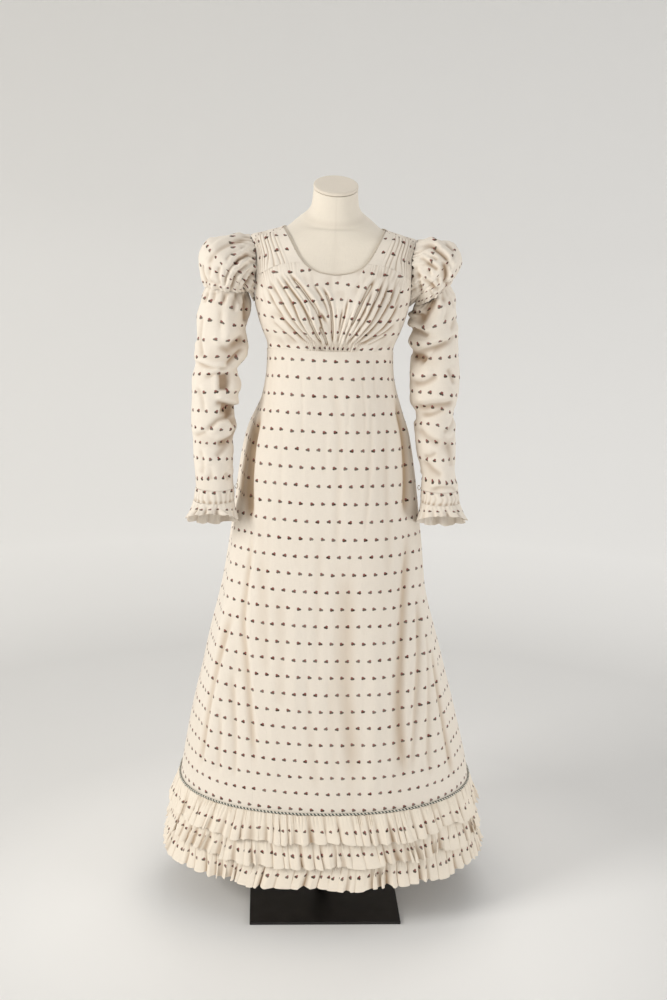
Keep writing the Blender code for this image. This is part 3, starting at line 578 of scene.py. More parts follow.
class Groups:
    """The node groups that several materials share."""

    def __init__(self) -> None:
        """Builds every group once."""
        self.lobe = self._lobe()
        self.sprig = self._sprig()
        self.weave = self._weave()

    def _lobe(self) -> bpy.types.NodeTree:
        """A soft-edged ellipse of a printed motif."""
        sizes = dict.fromkeys(("X", "Y", "Centre X", "Centre Y"), 0.0)
        sizes.update({"Radius X": 0.001, "Radius Y": 0.001, "Wobble": 0.0})
        nodes, given, out = node_group("printed_lobe", sizes, ("Mask",))
        squares = []
        for axis in ("X", "Y"):
            off = nodes.sum("SUBTRACT", given[axis], given["Centre " + axis])
            part = nodes.sum("DIVIDE", off, given["Radius " + axis])
            squares.append(nodes.sum("MULTIPLY", part, part))
        away = nodes.sum("SQRT", nodes.sum("ADD", *squares))
        nodes.feed(out["Mask"], nodes.step(nodes.sum("ADD", away, given["Wobble"]), 1.22, 0.86))
        return nodes.tree

    def _sprig(self) -> bpy.types.NodeTree:
        """Rows of small three-lobed sprigs, every other row half a step aside and turned over."""
        nodes, given, out = node_group(
            "sprig_print", {"Cloth": None, "Step": 0.0205, "Row": 0.0335, "Size": 1.02},
            ("Leaves", "Bud", "Fade"))
        spot = nodes.add("SeparateXYZ", {0: given["Cloth"]}).outputs
        rows = nodes.sum("DIVIDE", spot["Y"], given["Row"])
        row = nodes.sum("FLOOR", rows)
        odd = nodes.sum("PINGPONG", row, 1.0)
        steps = nodes.sum("ADD", nodes.sum("DIVIDE", spot["X"], given["Step"]),
                          nodes.sum("MULTIPLY", odd, 0.5))
        cell = nodes.add("CombineXYZ", {0: nodes.sum("FLOOR", steps), 1: row})
        chance = nodes.add("TexWhiteNoise", {"Vector": cell.outputs[0]}, noise_dimensions="2D")
        stray = nodes.add("SeparateXYZ", {0: chance.outputs["Color"]}).outputs
        turned = nodes.sum("MULTIPLY_ADD", odd, -2.0, 1.0)

        def inside(count: Socket, length: Socket, spread: Socket) -> Socket:
            """Metres from the middle of a cell, with a small printing error."""
            part = nodes.sum("MULTIPLY", nodes.centred(nodes.sum("FRACT", count)), length)
            error = nodes.sum("MULTIPLY", nodes.centred(spread), 0.0016)
            return nodes.sum("ADD", part, error)

        x = nodes.sum("MULTIPLY", inside(steps, given["Step"], stray["X"]), turned)
        y = inside(rows, given["Row"], stray["Y"])
        x, y = nodes.sum("DIVIDE", x, given["Size"]), nodes.sum("DIVIDE", y, given["Size"])
        rough = nodes.add("TexNoise", {"Vector": given["Cloth"], "Scale": 900.0, "Detail": 1.0})
        wobble = nodes.sum("MULTIPLY", nodes.centred(rough.outputs[0]), 0.9)

        def lobe(*sizes: float) -> Socket:
            """One lobe's mask from its centre and its radii in millimetres."""
            names = ("Centre X", "Centre Y", "Radius X", "Radius Y")
            values = {name: size / MM_PER_M for name, size in zip(names, sizes)}
            node = nodes.add("Group", node_tree=self.lobe)
            for key, value in {"X": x, "Y": y, "Wobble": wobble, **values}.items():
                nodes.feed(node.inputs[key], value)
            return node.outputs["Mask"]

        leaves = nodes.sum("MAXIMUM", lobe(-1.4, -0.4, 2.3, 2.1), lobe(1.5, -1.1, 2.3, 2.0))
        stem = lobe(0.0, -0.3, 1.8, 2.1)
        nodes.feed(out["Leaves"], nodes.sum("MAXIMUM", leaves, stem))
        nodes.feed(out["Bud"], lobe(1.4, 1.5, 2.3, 1.9))
        nodes.feed(out["Fade"], nodes.sum("MULTIPLY_ADD", stray["Z"], 0.22, 0.78))
        return nodes.tree

    def _weave(self) -> bpy.types.NodeTree:
        """Crossing threads with slubs: how light the cloth is and how high its threads stand."""
        nodes, given, out = node_group(
            "thread_weave", {"Cloth": None, "Pitch": 0.0006, "Slub": 1.0}, ("Light", "Height"))
        spot = nodes.add("SeparateXYZ", {0: given["Cloth"]}).outputs
        turns = nodes.sum("DIVIDE", 2 * pi, given["Pitch"])
        warp, weft = (nodes.sum("SINE", nodes.sum("MULTIPLY", spot[axis], turns)) for axis in "XY")
        threads = nodes.sum("MULTIPLY", warp, weft)
        slubs = []
        for scale in ((90.0, 1400.0, 1.0), (1400.0, 70.0, 1.0)):
            stretch = nodes.add("VectorMath", {0: given["Cloth"], 1: scale}, operation="MULTIPLY")
            values = {"Vector": stretch.outputs[0], "Scale": 1.0, "Detail": 2.0}
            slubs.append(nodes.centred(nodes.add("TexNoise", values).outputs[0]))
        slub = nodes.sum("MULTIPLY", nodes.sum("ADD", *slubs), given["Slub"])
        cloud = nodes.add("TexNoise", {"Vector": given["Cloth"], "Scale": 14.0, "Detail": 3.0})
        patch = nodes.sum("MULTIPLY", nodes.centred(cloud.outputs[0]), 0.06)
        light = nodes.sum("ADD", nodes.sum("MULTIPLY_ADD", slub, 0.10, 1.0), patch)
        nodes.feed(out["Light"], nodes.sum("MULTIPLY_ADD", threads, 0.012, light))
        nodes.feed(out["Height"], nodes.sum("MULTIPLY_ADD", threads, 0.25, slub))
        return nodes.tree


def new_material(name: str, roughness: float) -> tuple[Material, Nodes, bpy.types.Node]:
    """A material with its shader and nothing linked to it yet."""
    made = bpy.data.materials.new(name)
    made.use_nodes = True
    shader = made.node_tree.nodes["Principled BSDF"]
    shader.inputs["Roughness"].default_value = roughness
    return made, Nodes(made.node_tree), shader


@dataclass(frozen=True)
class CottonFinish:
    """Fine cream cotton, sprigged, with warm painted shade in the bottom of its folds."""

    name: str = "cotton"
    cream: Colour = (0.800, 0.730, 0.640, 1.0)
    # colour of the painted shade in the folds; the strength below says how far it is mixed in
    valley: Colour = (0.30, 0.185, 0.095, 1.0)
    leaf: Colour = (0.042, 0.028, 0.014, 1.0)
    bud: Colour = (0.230, 0.065, 0.056, 1.0)
    painted_shade_strength: float = 0.70
    printed: bool = True
    shift: tuple[float, float] = (0.0132, -0.00475)
    sheen: float = 0.04
    sheen_tint: Colour = (1.0, 0.95, 0.86, 1.0)

    def make(self, groups: Groups) -> Material:
        """The material, with its print and its weave on the cloth's own coordinates."""
        made, nodes, shader = new_material(self.name, 0.88)
        shader.inputs["Specular IOR Level"].default_value = 0.25
        shader.inputs["Sheen Weight"].default_value = self.sheen
        shader.inputs["Sheen Roughness"].default_value = 0.6
        shader.inputs["Sheen Tint"].default_value = self.sheen_tint
        cloth = nodes.add("UVMap", uv_map="cloth").outputs[0]
        place = nodes.add("Mapping", {"Vector": cloth, "Location": (*self.shift, 0.0)}).outputs[0]
        weave = nodes.add("Group", node_tree=groups.weave)
        nodes.feed(weave.inputs["Cloth"], place)
        colour = nodes.blend(1.0, self.cream, weave.outputs["Light"], "MULTIPLY")
        # painted shade: the cloth runs towards a warm brown where its folds are deep
        depth = nodes.add("Attribute", attribute_name="valley").outputs["Fac"]
        shade = nodes.sum("MULTIPLY", depth, self.painted_shade_strength, clamp=True)
        colour = nodes.blend(shade, colour, self.valley)
        if self.printed:
            sprig = nodes.add("Group", node_tree=groups.sprig)
            nodes.feed(sprig.inputs["Cloth"], place)
            for mask, ink in (("Leaves", self.leaf), ("Bud", self.bud)):
                share = nodes.sum("MULTIPLY", sprig.outputs[mask], sprig.outputs["Fade"])
                colour = nodes.blend(share, colour, ink)
        nodes.feed(shader.inputs["Base Color"], colour)
        nodes.feed(shader.inputs["Normal"], nodes.bump(0.35, 0.00012, weave.outputs["Height"]))
        return made


@dataclass(frozen=True)
class FormFinish:
    """The dress form's cover: plain cream cloth, drawn tight."""

    name: str
    colour: Colour = (0.800, 0.730, 0.625, 1.0)
    # colour of the seams' lines, which also paints shade in their grooves and a shadow line under
    # the cap's edge
    seam: Colour = (0.30, 0.22, 0.15, 1.0)
    seam_and_shade_strength: float = 0.6
    pitch: float = 0.0009

    def make(self, groups: Groups) -> Material:
        """The material, with its weave on the cover's own coordinates."""
        made, nodes, shader = new_material(self.name, 0.86)
        shader.inputs["Sheen Weight"].default_value = 0.1
        cloth = nodes.add("UVMap", uv_map="cloth").outputs[0]
        weave = nodes.add("Group", node_tree=groups.weave)
        nodes.feed(weave.inputs["Cloth"], cloth)
        nodes.feed(weave.inputs["Pitch"], self.pitch)
        colour = nodes.blend(1.0, self.colour, weave.outputs["Light"], "MULTIPLY")
        # darker where the attribute says: the seams' own lines, with painted shade in their grooves
        # and under the cap's edge
        depth = nodes.add("Attribute", attribute_name="valley").outputs["Fac"]
        shade = nodes.sum("MULTIPLY", depth, self.seam_and_shade_strength)
        nodes.feed(shader.inputs["Base Color"], nodes.blend(shade, colour, self.seam))
        nodes.feed(shader.inputs["Normal"], nodes.bump(0.4, 0.0002, weave.outputs["Height"]))
        return made


@dataclass(frozen=True)
class CordFinish:
    """White cord with dark green threads wound slantwise round it."""

    name: str
    white: Colour = (0.74, 0.71, 0.62, 1.0)
    dark: Colour = (0.020, 0.030, 0.022, 1.0)
    pitch: float = 0.0070
    slant: float = 0.55
    strand: float = 0.0011

    def make(self, groups: Groups) -> Material:
        """The material, striped on the cord's own coordinates."""
        made, nodes, shader = new_material(self.name, 0.8)
        cloth = nodes.add("UVMap", uv_map="cloth").outputs[0]
        spot = nodes.add("SeparateXYZ", {0: cloth}).outputs
        wound = nodes.sum("ADD", spot["Y"], nodes.sum("MULTIPLY", spot["X"], self.slant))
        place = nodes.sum("FRACT", nodes.sum("DIVIDE", wound, self.pitch))
        mask = nodes.sum("SUBTRACT", nodes.step(place, 0.45, 0.53), nodes.step(place, 0.97, 1.0),
                         clamp=True)
        nodes.feed(shader.inputs["Base Color"], nodes.blend(mask, self.white, self.dark))
        strands = nodes.sum("SINE", nodes.sum("MULTIPLY", wound, 2 * pi / self.strand))
        nodes.feed(shader.inputs["Normal"], nodes.bump(0.5, 0.0002, strands))
        return made


@dataclass(frozen=True)
class MetalFinish:
    """Black satin enamel with faint scuffs."""

    name: str
    colour: Colour = (0.0070, 0.0052, 0.0042, 1.0)

    def make(self, groups: Groups) -> Material:
        """The material, with its scuffs on the piece's own place."""
        made, nodes, shader = new_material(self.name, 0.42)
        place = nodes.add("TexCoord").outputs["Object"]
        cloud, fine = (
            nodes.add("TexNoise", {"Vector": place, "Scale": scale, "Detail": detail}).outputs[0]
            for scale, detail in ((35.0, 6.0), (900.0, 2.0)))
        nodes.feed(shader.inputs["Roughness"], nodes.sum("MULTIPLY_ADD", cloud, 0.22, 0.34))
        light = nodes.sum("MULTIPLY_ADD", cloud, 0.5, 0.75)
        nodes.feed(shader.inputs["Base Color"], nodes.blend(1.0, self.colour, light, "MULTIPLY"))
        nodes.feed(shader.inputs["Normal"], nodes.bump(0.15, 0.0002, fine))
        return made


@dataclass(frozen=True)
class Sheet:
    """How a piece of cloth was cut, as its width and length laid flat, and how it is held."""

    flat: tuple[float, float]
    held: str
    rests_on: tuple[str, ...] = ("form_body",)
    area: float | None = None


class Workshop:
    """Finishes each piece: its material, the nodes it stands for and its body."""

    def __init__(self) -> None:
        """Builds the shared node groups."""
        self.groups = Groups()

    def dress(self, piece: Piece, finish: CottonFinish | FormFinish | CordFinish, slot: Slot,
              *nodes: str) -> None:
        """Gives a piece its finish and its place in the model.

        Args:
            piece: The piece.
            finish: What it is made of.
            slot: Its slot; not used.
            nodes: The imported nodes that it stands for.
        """
        piece.data.materials.clear()
        piece.data.materials.append(finish.make(self.groups))
        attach(piece, "root")
        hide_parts(*nodes)
        LOG.info("%s: %d faces", piece.name, len(piece.data.polygons))

    def cloth(self, name: str, cut: Cut, sheet: Sheet, finish: CottonFinish = CottonFinish(),
              node: str = "") -> None:
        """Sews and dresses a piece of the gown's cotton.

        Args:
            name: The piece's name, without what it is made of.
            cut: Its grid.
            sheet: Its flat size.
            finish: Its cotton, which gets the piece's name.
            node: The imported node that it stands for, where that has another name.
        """
        piece = cut.sew(name + "_cloth")
        self.dress(piece, replace(finish, name=name + "_cotton"), Slot.COTTON, node or name)
        list(sheet.rests_on)


# The form's skin


@dataclass
class Torso:
    """The form's skin, on which the bodice is laid."""

    # height, half width, front, back, middle's Y, superellipse power
    rows: Table = (
        (0.850, 0.1120, 0.0780, 0.0840, 0.004, 2.2),
        (0.880, 0.1260, 0.0880, 0.0960, 0.004, 2.2),
        (0.940, 0.1330, 0.0920, 0.1020, 0.004, 2.2),
        (1.000, 0.1240, 0.0900, 0.0970, 0.003, 2.2),
        (1.060, 0.1160, 0.0880, 0.0880, 0.002, 2.2),
        (1.120, 0.1165, 0.0925, 0.0830, 0.000, 2.3),
        (1.135, 0.1180, 0.0935, 0.0835, -0.001, 2.3),
        (1.163, 0.1285, 0.0970, 0.0860, -0.002, 2.4),
        (1.194, 0.1385, 0.1010, 0.0890, -0.002, 2.5),
        (1.215, 0.1435, 0.1010, 0.0900, -0.002, 2.7),
        (1.250, 0.1470, 0.0940, 0.0910, 0.000, 2.9),
        (1.280, 0.1525, 0.0840, 0.0880, 0.002, 2.8),
        (1.305, 0.1590, 0.0750, 0.0820, 0.006, 2.4),
        (1.322, 0.1610, 0.0690, 0.0760, 0.007, 2.2),
        (1.334, 0.1560, 0.0645, 0.0710, 0.007, 2.0),
        (1.343, 0.1270, 0.0610, 0.0670, 0.007, 1.9),
        (1.354, 0.0930, 0.0560, 0.0620, 0.007, 1.9),
        (1.366, 0.0750, 0.0515, 0.0560, 0.006, 2.0),
        (1.376, 0.0590, 0.0480, 0.0510, 0.006, 2.0),
        (1.386, 0.0500, 0.0470, 0.0480, 0.006, 2.0),
        (1.398, 0.0450, 0.0450, 0.0450, 0.006, 2.0),
        (1.450, 0.0410, 0.0430, 0.0430, 0.006, 2.0),
    )
    levels: int = 1201             # heights between which the sizes run straight
    bust_x: float = 0.062
    bust_z: float = 1.203
    bust_spread_x: float = 0.036
    bust_spread_z: float = 0.034
    bust_depth: float = 0.018
    core_top: float = 1.250
    core_share: float = 0.62
    reach: float = 0.25            # longer than any way from the core to the skin
    halvings: int = 26             # steps in which the skin is found on a ray
    waist_half: float = 0.12       # half width and front of the ring that guides the waist
    waist_front: float = 0.095
    waist_front_rise: float = 0.0135

    def __post_init__(self) -> None:
        """Spreads the rows over closely spaced heights."""
        table = np.array(self.rows)
        self.heights = np.linspace(table[0, 0], table[-1, 0], self.levels)
        self.columns = hermite(table[:, 0], table[:, 1:], self.heights)

    def level(self, height: Array) -> list[Array]:
        """The section's five sizes at each height."""
        return [np.interp(height, self.heights, column) for column in self.columns.T]

    def bust(self, x: Array, z: Array) -> Array:
        """How far the bust stands forward of the plain section."""
        lobes = sum(bell(x + side * self.bust_x, self.bust_spread_x) for side in (-1, 1))
        return self.bust_depth * lobes * bell(z - self.bust_z, self.bust_spread_z)

    def core(self, guide: Array) -> Array:
        """The point inside the form from which a guide is seen."""
        x, z = guide[..., 0] * self.core_share, np.minimum(guide[..., 2], self.core_top)
        return np.stack((x, np.zeros_like(x), z), -1)

    def skin(self, guide: Array) -> Array:
        """The skin's points on the rays from the form's core through guide points."""
        core = self.core(guide)
        ray = unit(guide - core)
        near, far = np.zeros(guide.shape[:-1]), np.full(guide.shape[:-1], self.reach)
        for _ in range(self.halvings):
            middle = (near + far) / 2
            point = core + ray * middle[..., None]
            width, front, back, mid_y, roundness = self.level(point[..., 2])
            across = np.abs(point[..., 0]) / width
            rim = np.clip(1.0 - across ** roundness, 0.0, 1.0) ** (1.0 / roundness)
            y = point[..., 1] - mid_y
            bulge = self.bust(point[..., 0], point[..., 2]) * smoothstep(0.0, 0.5, rim)
            deep = np.where(y > 0.0, y < back * rim, -y < front * rim + bulge)
            inside = (across < 1.0) & deep
            near, far = np.where(inside, middle, near), np.where(inside, far, middle)
        return core + ray * near[..., None]

    def off_skin(self, guide: Array, height: float) -> Array:
        """Points at a height off the skin, on the same rays."""
        base = self.skin(guide)
        return base + unit(base - self.core(guide)) * height

    def waist_rise(self, y: Array) -> Array:
        """How much higher the waist sits towards the centre front."""
        return self.waist_front_rise * smoothstep(0.030, -0.095, y)

    def waist(self, degrees: Array, height: float) -> Array:
        """Points of the waist: 0 degrees is the centre front, 180 the centre back."""
        angle = np.radians(np.asarray(degrees, float))
        guide = np.stack((self.waist_half * np.sin(angle), -self.waist_front * np.cos(angle),
                          np.full(angle.shape, height)), -1)
        point = self.skin(guide)
        return point + self.waist_rise(point[..., 1])[..., None] * UPWARDS

    def ring(self, height: float, inset: float, sides: int, slant: float, sink: float) -> Array:
        """A ring of the form's own surface.

        Args:
            height: The ring's height.
            inset: How far it lies inside the skin.
            sides: Points round it; the first comes again as the last.
            slant: Rise per metre towards the back.
            sink: How far the whole ring is let down.

        Returns:
            The ring's points, leaning.
        """
        width, front, back, mid_y, roundness = self.level(np.array(height))
        angle = np.linspace(0, 2 * pi, sides + 1)
        x = (width - inset) * power(np.sin(angle), 2 / roundness)
        deep = power(np.cos(angle), 2 / roundness)
        bulge = self.bust(x, np.full(x.shape, height)) * smoothstep(0.0, 0.5, np.abs(deep))
        y = mid_y - np.where(deep > 0, (front - inset) * deep + bulge, (back - inset) * deep)
        return leaning(np.stack((x, y, height - sink + slant * (y - mid_y)), -1))


@dataclass
class Form:
    """The limbless dress form: its covered body and neck, and the slanted cap on top."""

    torso: Torso
    inset: float = 0.0012          # how far its cover lies inside the skin that carries the gown
    bottom: float = 0.850
    shoulder_top: float = 1.376
    neck_top: float = 1.4285
    slant: float = 0.36
    sides: int = 128
    ring_step: float = 0.0045
    seam_width: float = 0.0011
    seam_depth: float = 0.0003
    cover_width: float = 0.62
    cap_width: float = 0.26
    # rise and inset of the rings of the rounded lower edge, and of the cap over the neck's top
    foot: Path = ((0.0, 0.012), (0.004, 0.0065), (0.012, 0.004))
    cap: Path = (
        (0.0003, 0.0030), (0.0003, 0.0012), (0.0007, 0.0005), (0.0014, 0.0003), (0.0040, 0.0003),
        (0.0050, 0.0006), (0.0057, 0.0014), (0.0060, 0.0026), (0.0061, 0.0060), (0.0061, 0.0130),
        (0.0061, 0.0250), (0.0061, 0.0350),
    )

    def _ring(self, height: float, inset: float) -> Array:
        """A ring of the form, slanted where it belongs to the neck."""
        top = self.shoulder_top
        slant = self.slant * float(smoothstep(top - 0.024, top - 0.002, height))
        sink = self.inset * float(smoothstep(1.26, 1.30, height)
                                  * smoothstep(top + 0.02, top - 0.03, height))
        return self.torso.ring(height, inset, self.sides, slant, sink)

    def _spots(self, up: Array, width: float) -> Array:
        """Spots of a cover of a width, from how far each point lies up it."""
        turn = np.linspace(-0.5, 0.5, self.sides + 1)[None] * np.ones_like(up)
        return np.stack((turn * width, up), -1)

    def _cover(self) -> Piece:
        """The body and the neck, sewn at the centre front and round the neck's foot."""
        rings = [(self.bottom + rise, inset) for rise, inset in self.foot]
        heights = np.arange(self.bottom + 0.024, self.neck_top + 0.0005, self.ring_step)
        rings += [(z, self.inset) for z in heights]
        grid = np.array([self._ring(z, inset) for z, inset in rings])
        up = lengths_up(grid)
        height = np.array([z for z, _ in rings])[:, None]
        share = np.linspace(0, 1, self.sides + 1), np.linspace(1, 0, self.sides + 1)
        around = np.minimum(*share)[None]
        radius = np.linalg.norm(grid[..., :2] - grid[..., :2].mean(1, keepdims=True), axis=-1)
        # darker along the centre seam and round the neck's foot: partly the seams' own lines,
        # partly painted shade in their grooves
        centre = bell(around * 2 * pi * radius, self.seam_width)
        neck_foot = bell(height - (self.shoulder_top + 0.004), 0.0016)
        seams = np.clip(centre * 0.10 + neck_foot * 0.35, 0, 1)
        valley = seams * smoothstep(1.27, 1.28, height)
        grid = lifted(grid, -self.seam_depth * valley, True)
        spots = self._spots(up, self.cover_width)
        return capped(Cut(grid, spots, True, valley).sew("form_cover", 0.0))

    def _cap(self) -> Piece:
        """The flat slanted disc that closes the neck, with a painted shadow line under its edge."""
        grid = np.array([self._ring(self.neck_top + rise, inset) for rise, inset in self.cap])
        up = lengths_up(grid)
        valley = np.zeros_like(up)
        # painted shadow on the two lowest rings, under the cap's edge
        valley[:2] = 0.3
        spots = self._spots(up, self.cap_width)
        return capped(Cut(grid, spots, True, valley).sew("form_cap", 0.0))

    def build(self, shop: Workshop) -> None:
        """Makes and dresses the form."""
        cover = FormFinish("form_cover_cloth")
        cap = FormFinish("form_cap_cloth", (0.745, 0.672, 0.570, 1.0))
        shop.dress(self._cover(), cover, Slot.FORM, "form_body", "form_neck")
        shop.dress(self._cap(), cap, Slot.FORM, "neck_cap")


@dataclass
class Stand:
    """The black base plate and the pole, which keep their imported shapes."""

    nodes: dict[str, Piece]

    def build(self, shop: Workshop) -> None:
        """Gives both pieces their enamel."""
        for name in ("base_plate", "pole"):
            material = MetalFinish(name + "_enamel").make(shop.groups)
            for slot in self.nodes[name].material_slots:
                slot.material = material
            LOG.info("%s: packed shape, new finish", name)


# The bodice


# The gathered front's folds fan out from the middle of the waist to the cup seams
BODICE_FOLDS = creases(
    (1.8, 1.8, 0.7, (-126, 1266), (-108, 1240), (-88, 1206), (-64, 1174), (-38, 1146)),
    (1.6, 2.4, 0.7, (-117, 1276), (-99, 1252), (-80, 1222), (-68, 1194), (-46, 1161), (-32, 1146)),
    (1.9, 3.2, 0.7, (-106, 1279), (-86, 1252), (-65, 1226), (-51, 1199), (-35, 1165), (-24, 1146)),
    (1.5, 2.2, 0.6, (-98, 1280), (-80, 1256), (-60, 1230), (-46, 1204)),
    (2.6, 3.4, 0.5, (-94, 1281), (-74, 1262), (-58, 1244), (-44, 1226), (-30, 1208), (-16, 1186)),
    (1.6, 2.6, 0.6, (-46, 1236), (-36, 1212), (-27, 1184), (-20, 1160), (-16, 1144)),
    (1.4, 2.0, 0.6, (-56, 1222), (-44, 1192), (-32, 1164), (-24, 1146)),
    (1.6, 1.5, 0.6, (-131, 1256), (-118, 1230), (-100, 1202), (-76, 1174), (-52, 1148)),
    (1.6, 1.4, 0.6, (-110, 1206), (-88, 1184), (-66, 1163), (-46, 1147)),
    (1.6, 1.1, 0.6, (-118, 1190), (-94, 1170), (-68, 1148)),
    (2.2, 3.0, 0.4, (-33, 1186), (-26, 1172), (-18, 1158), (-15, 1144)),
    (1.9, 3.2, 0.6, (-30, 1258), (-17, 1238), (-10, 1212), (-7, 1180), (-6, 1144)),
    (1.5, 1.8, 0.6, (-44, 1260), (-30, 1240), (-20, 1220), (-14, 1196)),
    (1.4, 1.5, 0.6, (-50, 1196), (-40, 1174), (-30, 1154)),
    (1.6, 2.4, 0.6, (22, 1240), (15, 1208), (8, 1174), (2, 1144)),
    (1.6, 2.6, 0.6, (32, 1220), (21, 1190), (11, 1162), (6, 1144)),
    (1.7, 2.8, -0.6, (45, 1234), (34, 1206), (21, 1174), (12, 1144)),
    (1.4, 1.8, 0.6, (12, 1222), (7, 1196), (3, 1166), (0, 1146)),
    (2.6, 3.2, -0.5, (74, 1274), (58, 1252), (46, 1231), (34, 1206), (24, 1182)),
    (1.6, 2.4, -0.6, (66, 1250), (54, 1224), (40, 1194), (26, 1164), (16, 1144)),
    (1.8, 3.2, -0.6, (90, 1274), (77, 1248), (64, 1221), (48, 1190), (30, 1162), (18, 1144)),
    (1.6, 2.6, -0.6, (99, 1271), (89, 1244), (76, 1216), (62, 1190), (42, 1164), (24, 1145)),
    (1.8, 2.8, -0.6, (112, 1269), (101, 1237), (86, 1208), (68, 1182), (48, 1161), (30, 1145)),
    (1.6, 1.8, -0.6, (121, 1256), (110, 1226), (96, 1200), (76, 1176)),
    (2.0, 2.6, -0.6, (118, 1232), (106, 1206), (88, 1181), (64, 1162), (38, 1146)),
    (1.6, 1.6, -0.6, (112, 1188), (92, 1172), (68, 1160), (46, 1147)),
    (1.4, 1.5, -0.6, (98, 1166), (76, 1156), (56, 1147)),
    (1.5, 1.7, 0.6, (56, 1220), (47, 1198), (38, 1178)),
    (1.5, 1.4, 0.6, (-2, 1222), (-1, 1192), (0, 1160)),
)


@dataclass
class Bodice:
    """The bodice: a gathered front, straps, backs and side bodies on the form's skin."""

    torso: Torso
    low: float = 1.1230            # height of the lower edge
    lap: float = 0.0008            # how far the front's lower edge stands off the band under it
    band_low: float = 1.1213
    band_high: float = 1.1322
    binding_radius: float = 0.0008
    binding_lift: float = 0.0004
    edge_inset: float = 0.0024     # how far the pieces' edge lies inside the neckline
    seam: float = 0.0003           # the gap at a seam
    # where seams end: places along the neckline, degrees round the armhole and round the waist
    neck_cup: float = 2.6
    neck_shoulder: float = 5.3
    cup_angle: float = 95.0
    shoulder_angle: float = 22.0
    side_front_angle: float = 150.0
    side_back_angle: float = 212.0
    side_front_waist: float = 76.0
    side_back_waist: float = 122.0
    # shares of the half front's upper edge at which the neckline and the cup seam end
    neck_end: float = 0.34
    cup_end: float = 0.80
    # shares of the back's edges at which the opening, and the seam under the arm, end
    opening_end: float = 0.42
    underarm_end: float = 0.30
    armhole_centre: Place = (0.155, -0.003, 1.272)
    armhole_depth: float = 0.043
    armhole_height: float = 0.0605
    armhole_tuck: float = 0.010    # how far its front and back lie nearer the middle
    # points towards which the front's and the back's edges are drawn in by a seam's gap
    front_core: Place = (0.0, -0.10, 1.15)
    back_core: Place = (0.12, 0.05, 1.33)
    neck_core: Place = (0.0, 0.0, 1.20)
    neckline: Table = (
        (0.0000, -0.090, 1.2760), (0.0250, -0.089, 1.2795), (0.0500, -0.085, 1.2915),
        (0.0650, -0.076, 1.3080), (0.0780, -0.056, 1.3290), (0.0900, -0.025, 1.3480),
        (0.0945, 0.000, 1.3540), (0.0880, 0.030, 1.3480), (0.0700, 0.058, 1.3350),
        (0.0350, 0.078, 1.3220), (0.0000, 0.082, 1.3180),
    )
    cup_seam: Table = ((0.0960, -0.075, 1.2940), (0.1310, -0.0600, 1.2740))
    shoulder_seam: Table = ((0.1135, -0.020, 1.3430), (0.1400, -0.020, 1.3360))
    folds: tuple[Crease, ...] = BODICE_FOLDS
    fold_strength: float = 1.3

    @property
    def neck_last(self) -> int:
        """The neckline's last place, at the centre back."""
        return len(self.neckline) - 1

    def armhole(self, degrees: Array, grow: float = 0.0) -> Array:
        """Guide points of the armhole: 0 degrees is its top, 90 the front, 180 the underarm."""
        angle = np.radians(np.asarray(degrees, float))
        offset = np.stack((-self.armhole_tuck * np.abs(np.sin(angle)),
                           -(self.armhole_depth + grow) * np.sin(angle),
                           (self.armhole_height + grow) * np.cos(angle)), -1)
        return np.array(self.armhole_centre) + offset

    def neck(self, place: Array, inset: float = 0.0) -> Array:
        """Guide points of the neckline, or set back from it by an inset."""
        places = np.arange(len(self.neckline))
        place = np.asarray(place, float)
        point = hermite(places, self.neckline, place)
        ahead = hermite(places, self.neckline, np.minimum(place + 0.05, places[-1]))
        behind = hermite(places, self.neckline, np.maximum(place - 0.05, 0))
        outwards = unit(np.cross(ahead - behind, self.torso.skin(point) - np.array(self.neck_core)))
        return point + outwards * inset

    def _seam_line(self, place: float, seam: Table, degrees: float, share: Array) -> Array:
        """A seam that runs from a place on the neckline to an angle of the armhole."""
        ends = self.neck(place, self.edge_inset), self.armhole(degrees, self.seam)
        points = np.array((ends[0], *seam, ends[1]))
        return hermite(np.arange(4), points, np.asarray(share, float) * 3)

    def cup(self, share: Array) -> Array:
        """The seam between cup and strap, neckline to armhole."""
        return self._seam_line(self.neck_cup, self.cup_seam, self.cup_angle, share)

    def shoulder(self, share: Array) -> Array:
        """The seam in front of the shoulder's ridge, neckline to armhole."""
        return self._seam_line(self.neck_shoulder, self.shoulder_seam, self.shoulder_angle, share)

    def _drawn_in(self, points: Array, core: Place) -> Array:
        """Points moved by a seam's gap towards another point."""
        return points + unit(np.array(core) - points) * self.seam

    def _front_top(self, share: Array) -> Array:
        """The front's upper edge from the wearer's right side seam to the left one."""
        place = np.abs(2 * share - 1)
        neck = self.neck(self.neck_cup * np.minimum(place / self.neck_end, 1.0), self.edge_inset)
        cup = self.cup(ratio(place, self.neck_end, self.cup_end))
        turn = (self.side_front_angle - self.cup_angle) * ratio(place, self.cup_end, 1.0)
        arm = self.armhole(self.cup_angle + turn, self.seam)
        outer = np.where((place < self.cup_end)[:, None], cup, arm)
        point = self._drawn_in(np.where((place < self.neck_end)[:, None], neck, outer),
                               self.front_core)
        return np.where((share >= 0.5)[:, None], point, point * MIRROR)

    def _front_bottom(self, share: Array) -> Array:
        """The front's lower edge, with the gathers drawn towards the middle."""
        place = 2 * share - 1
        drawn = 0.42 * place + 0.58 * power(place, 3.2)
        return self.torso.waist(self.side_front_waist * drawn, self.low)

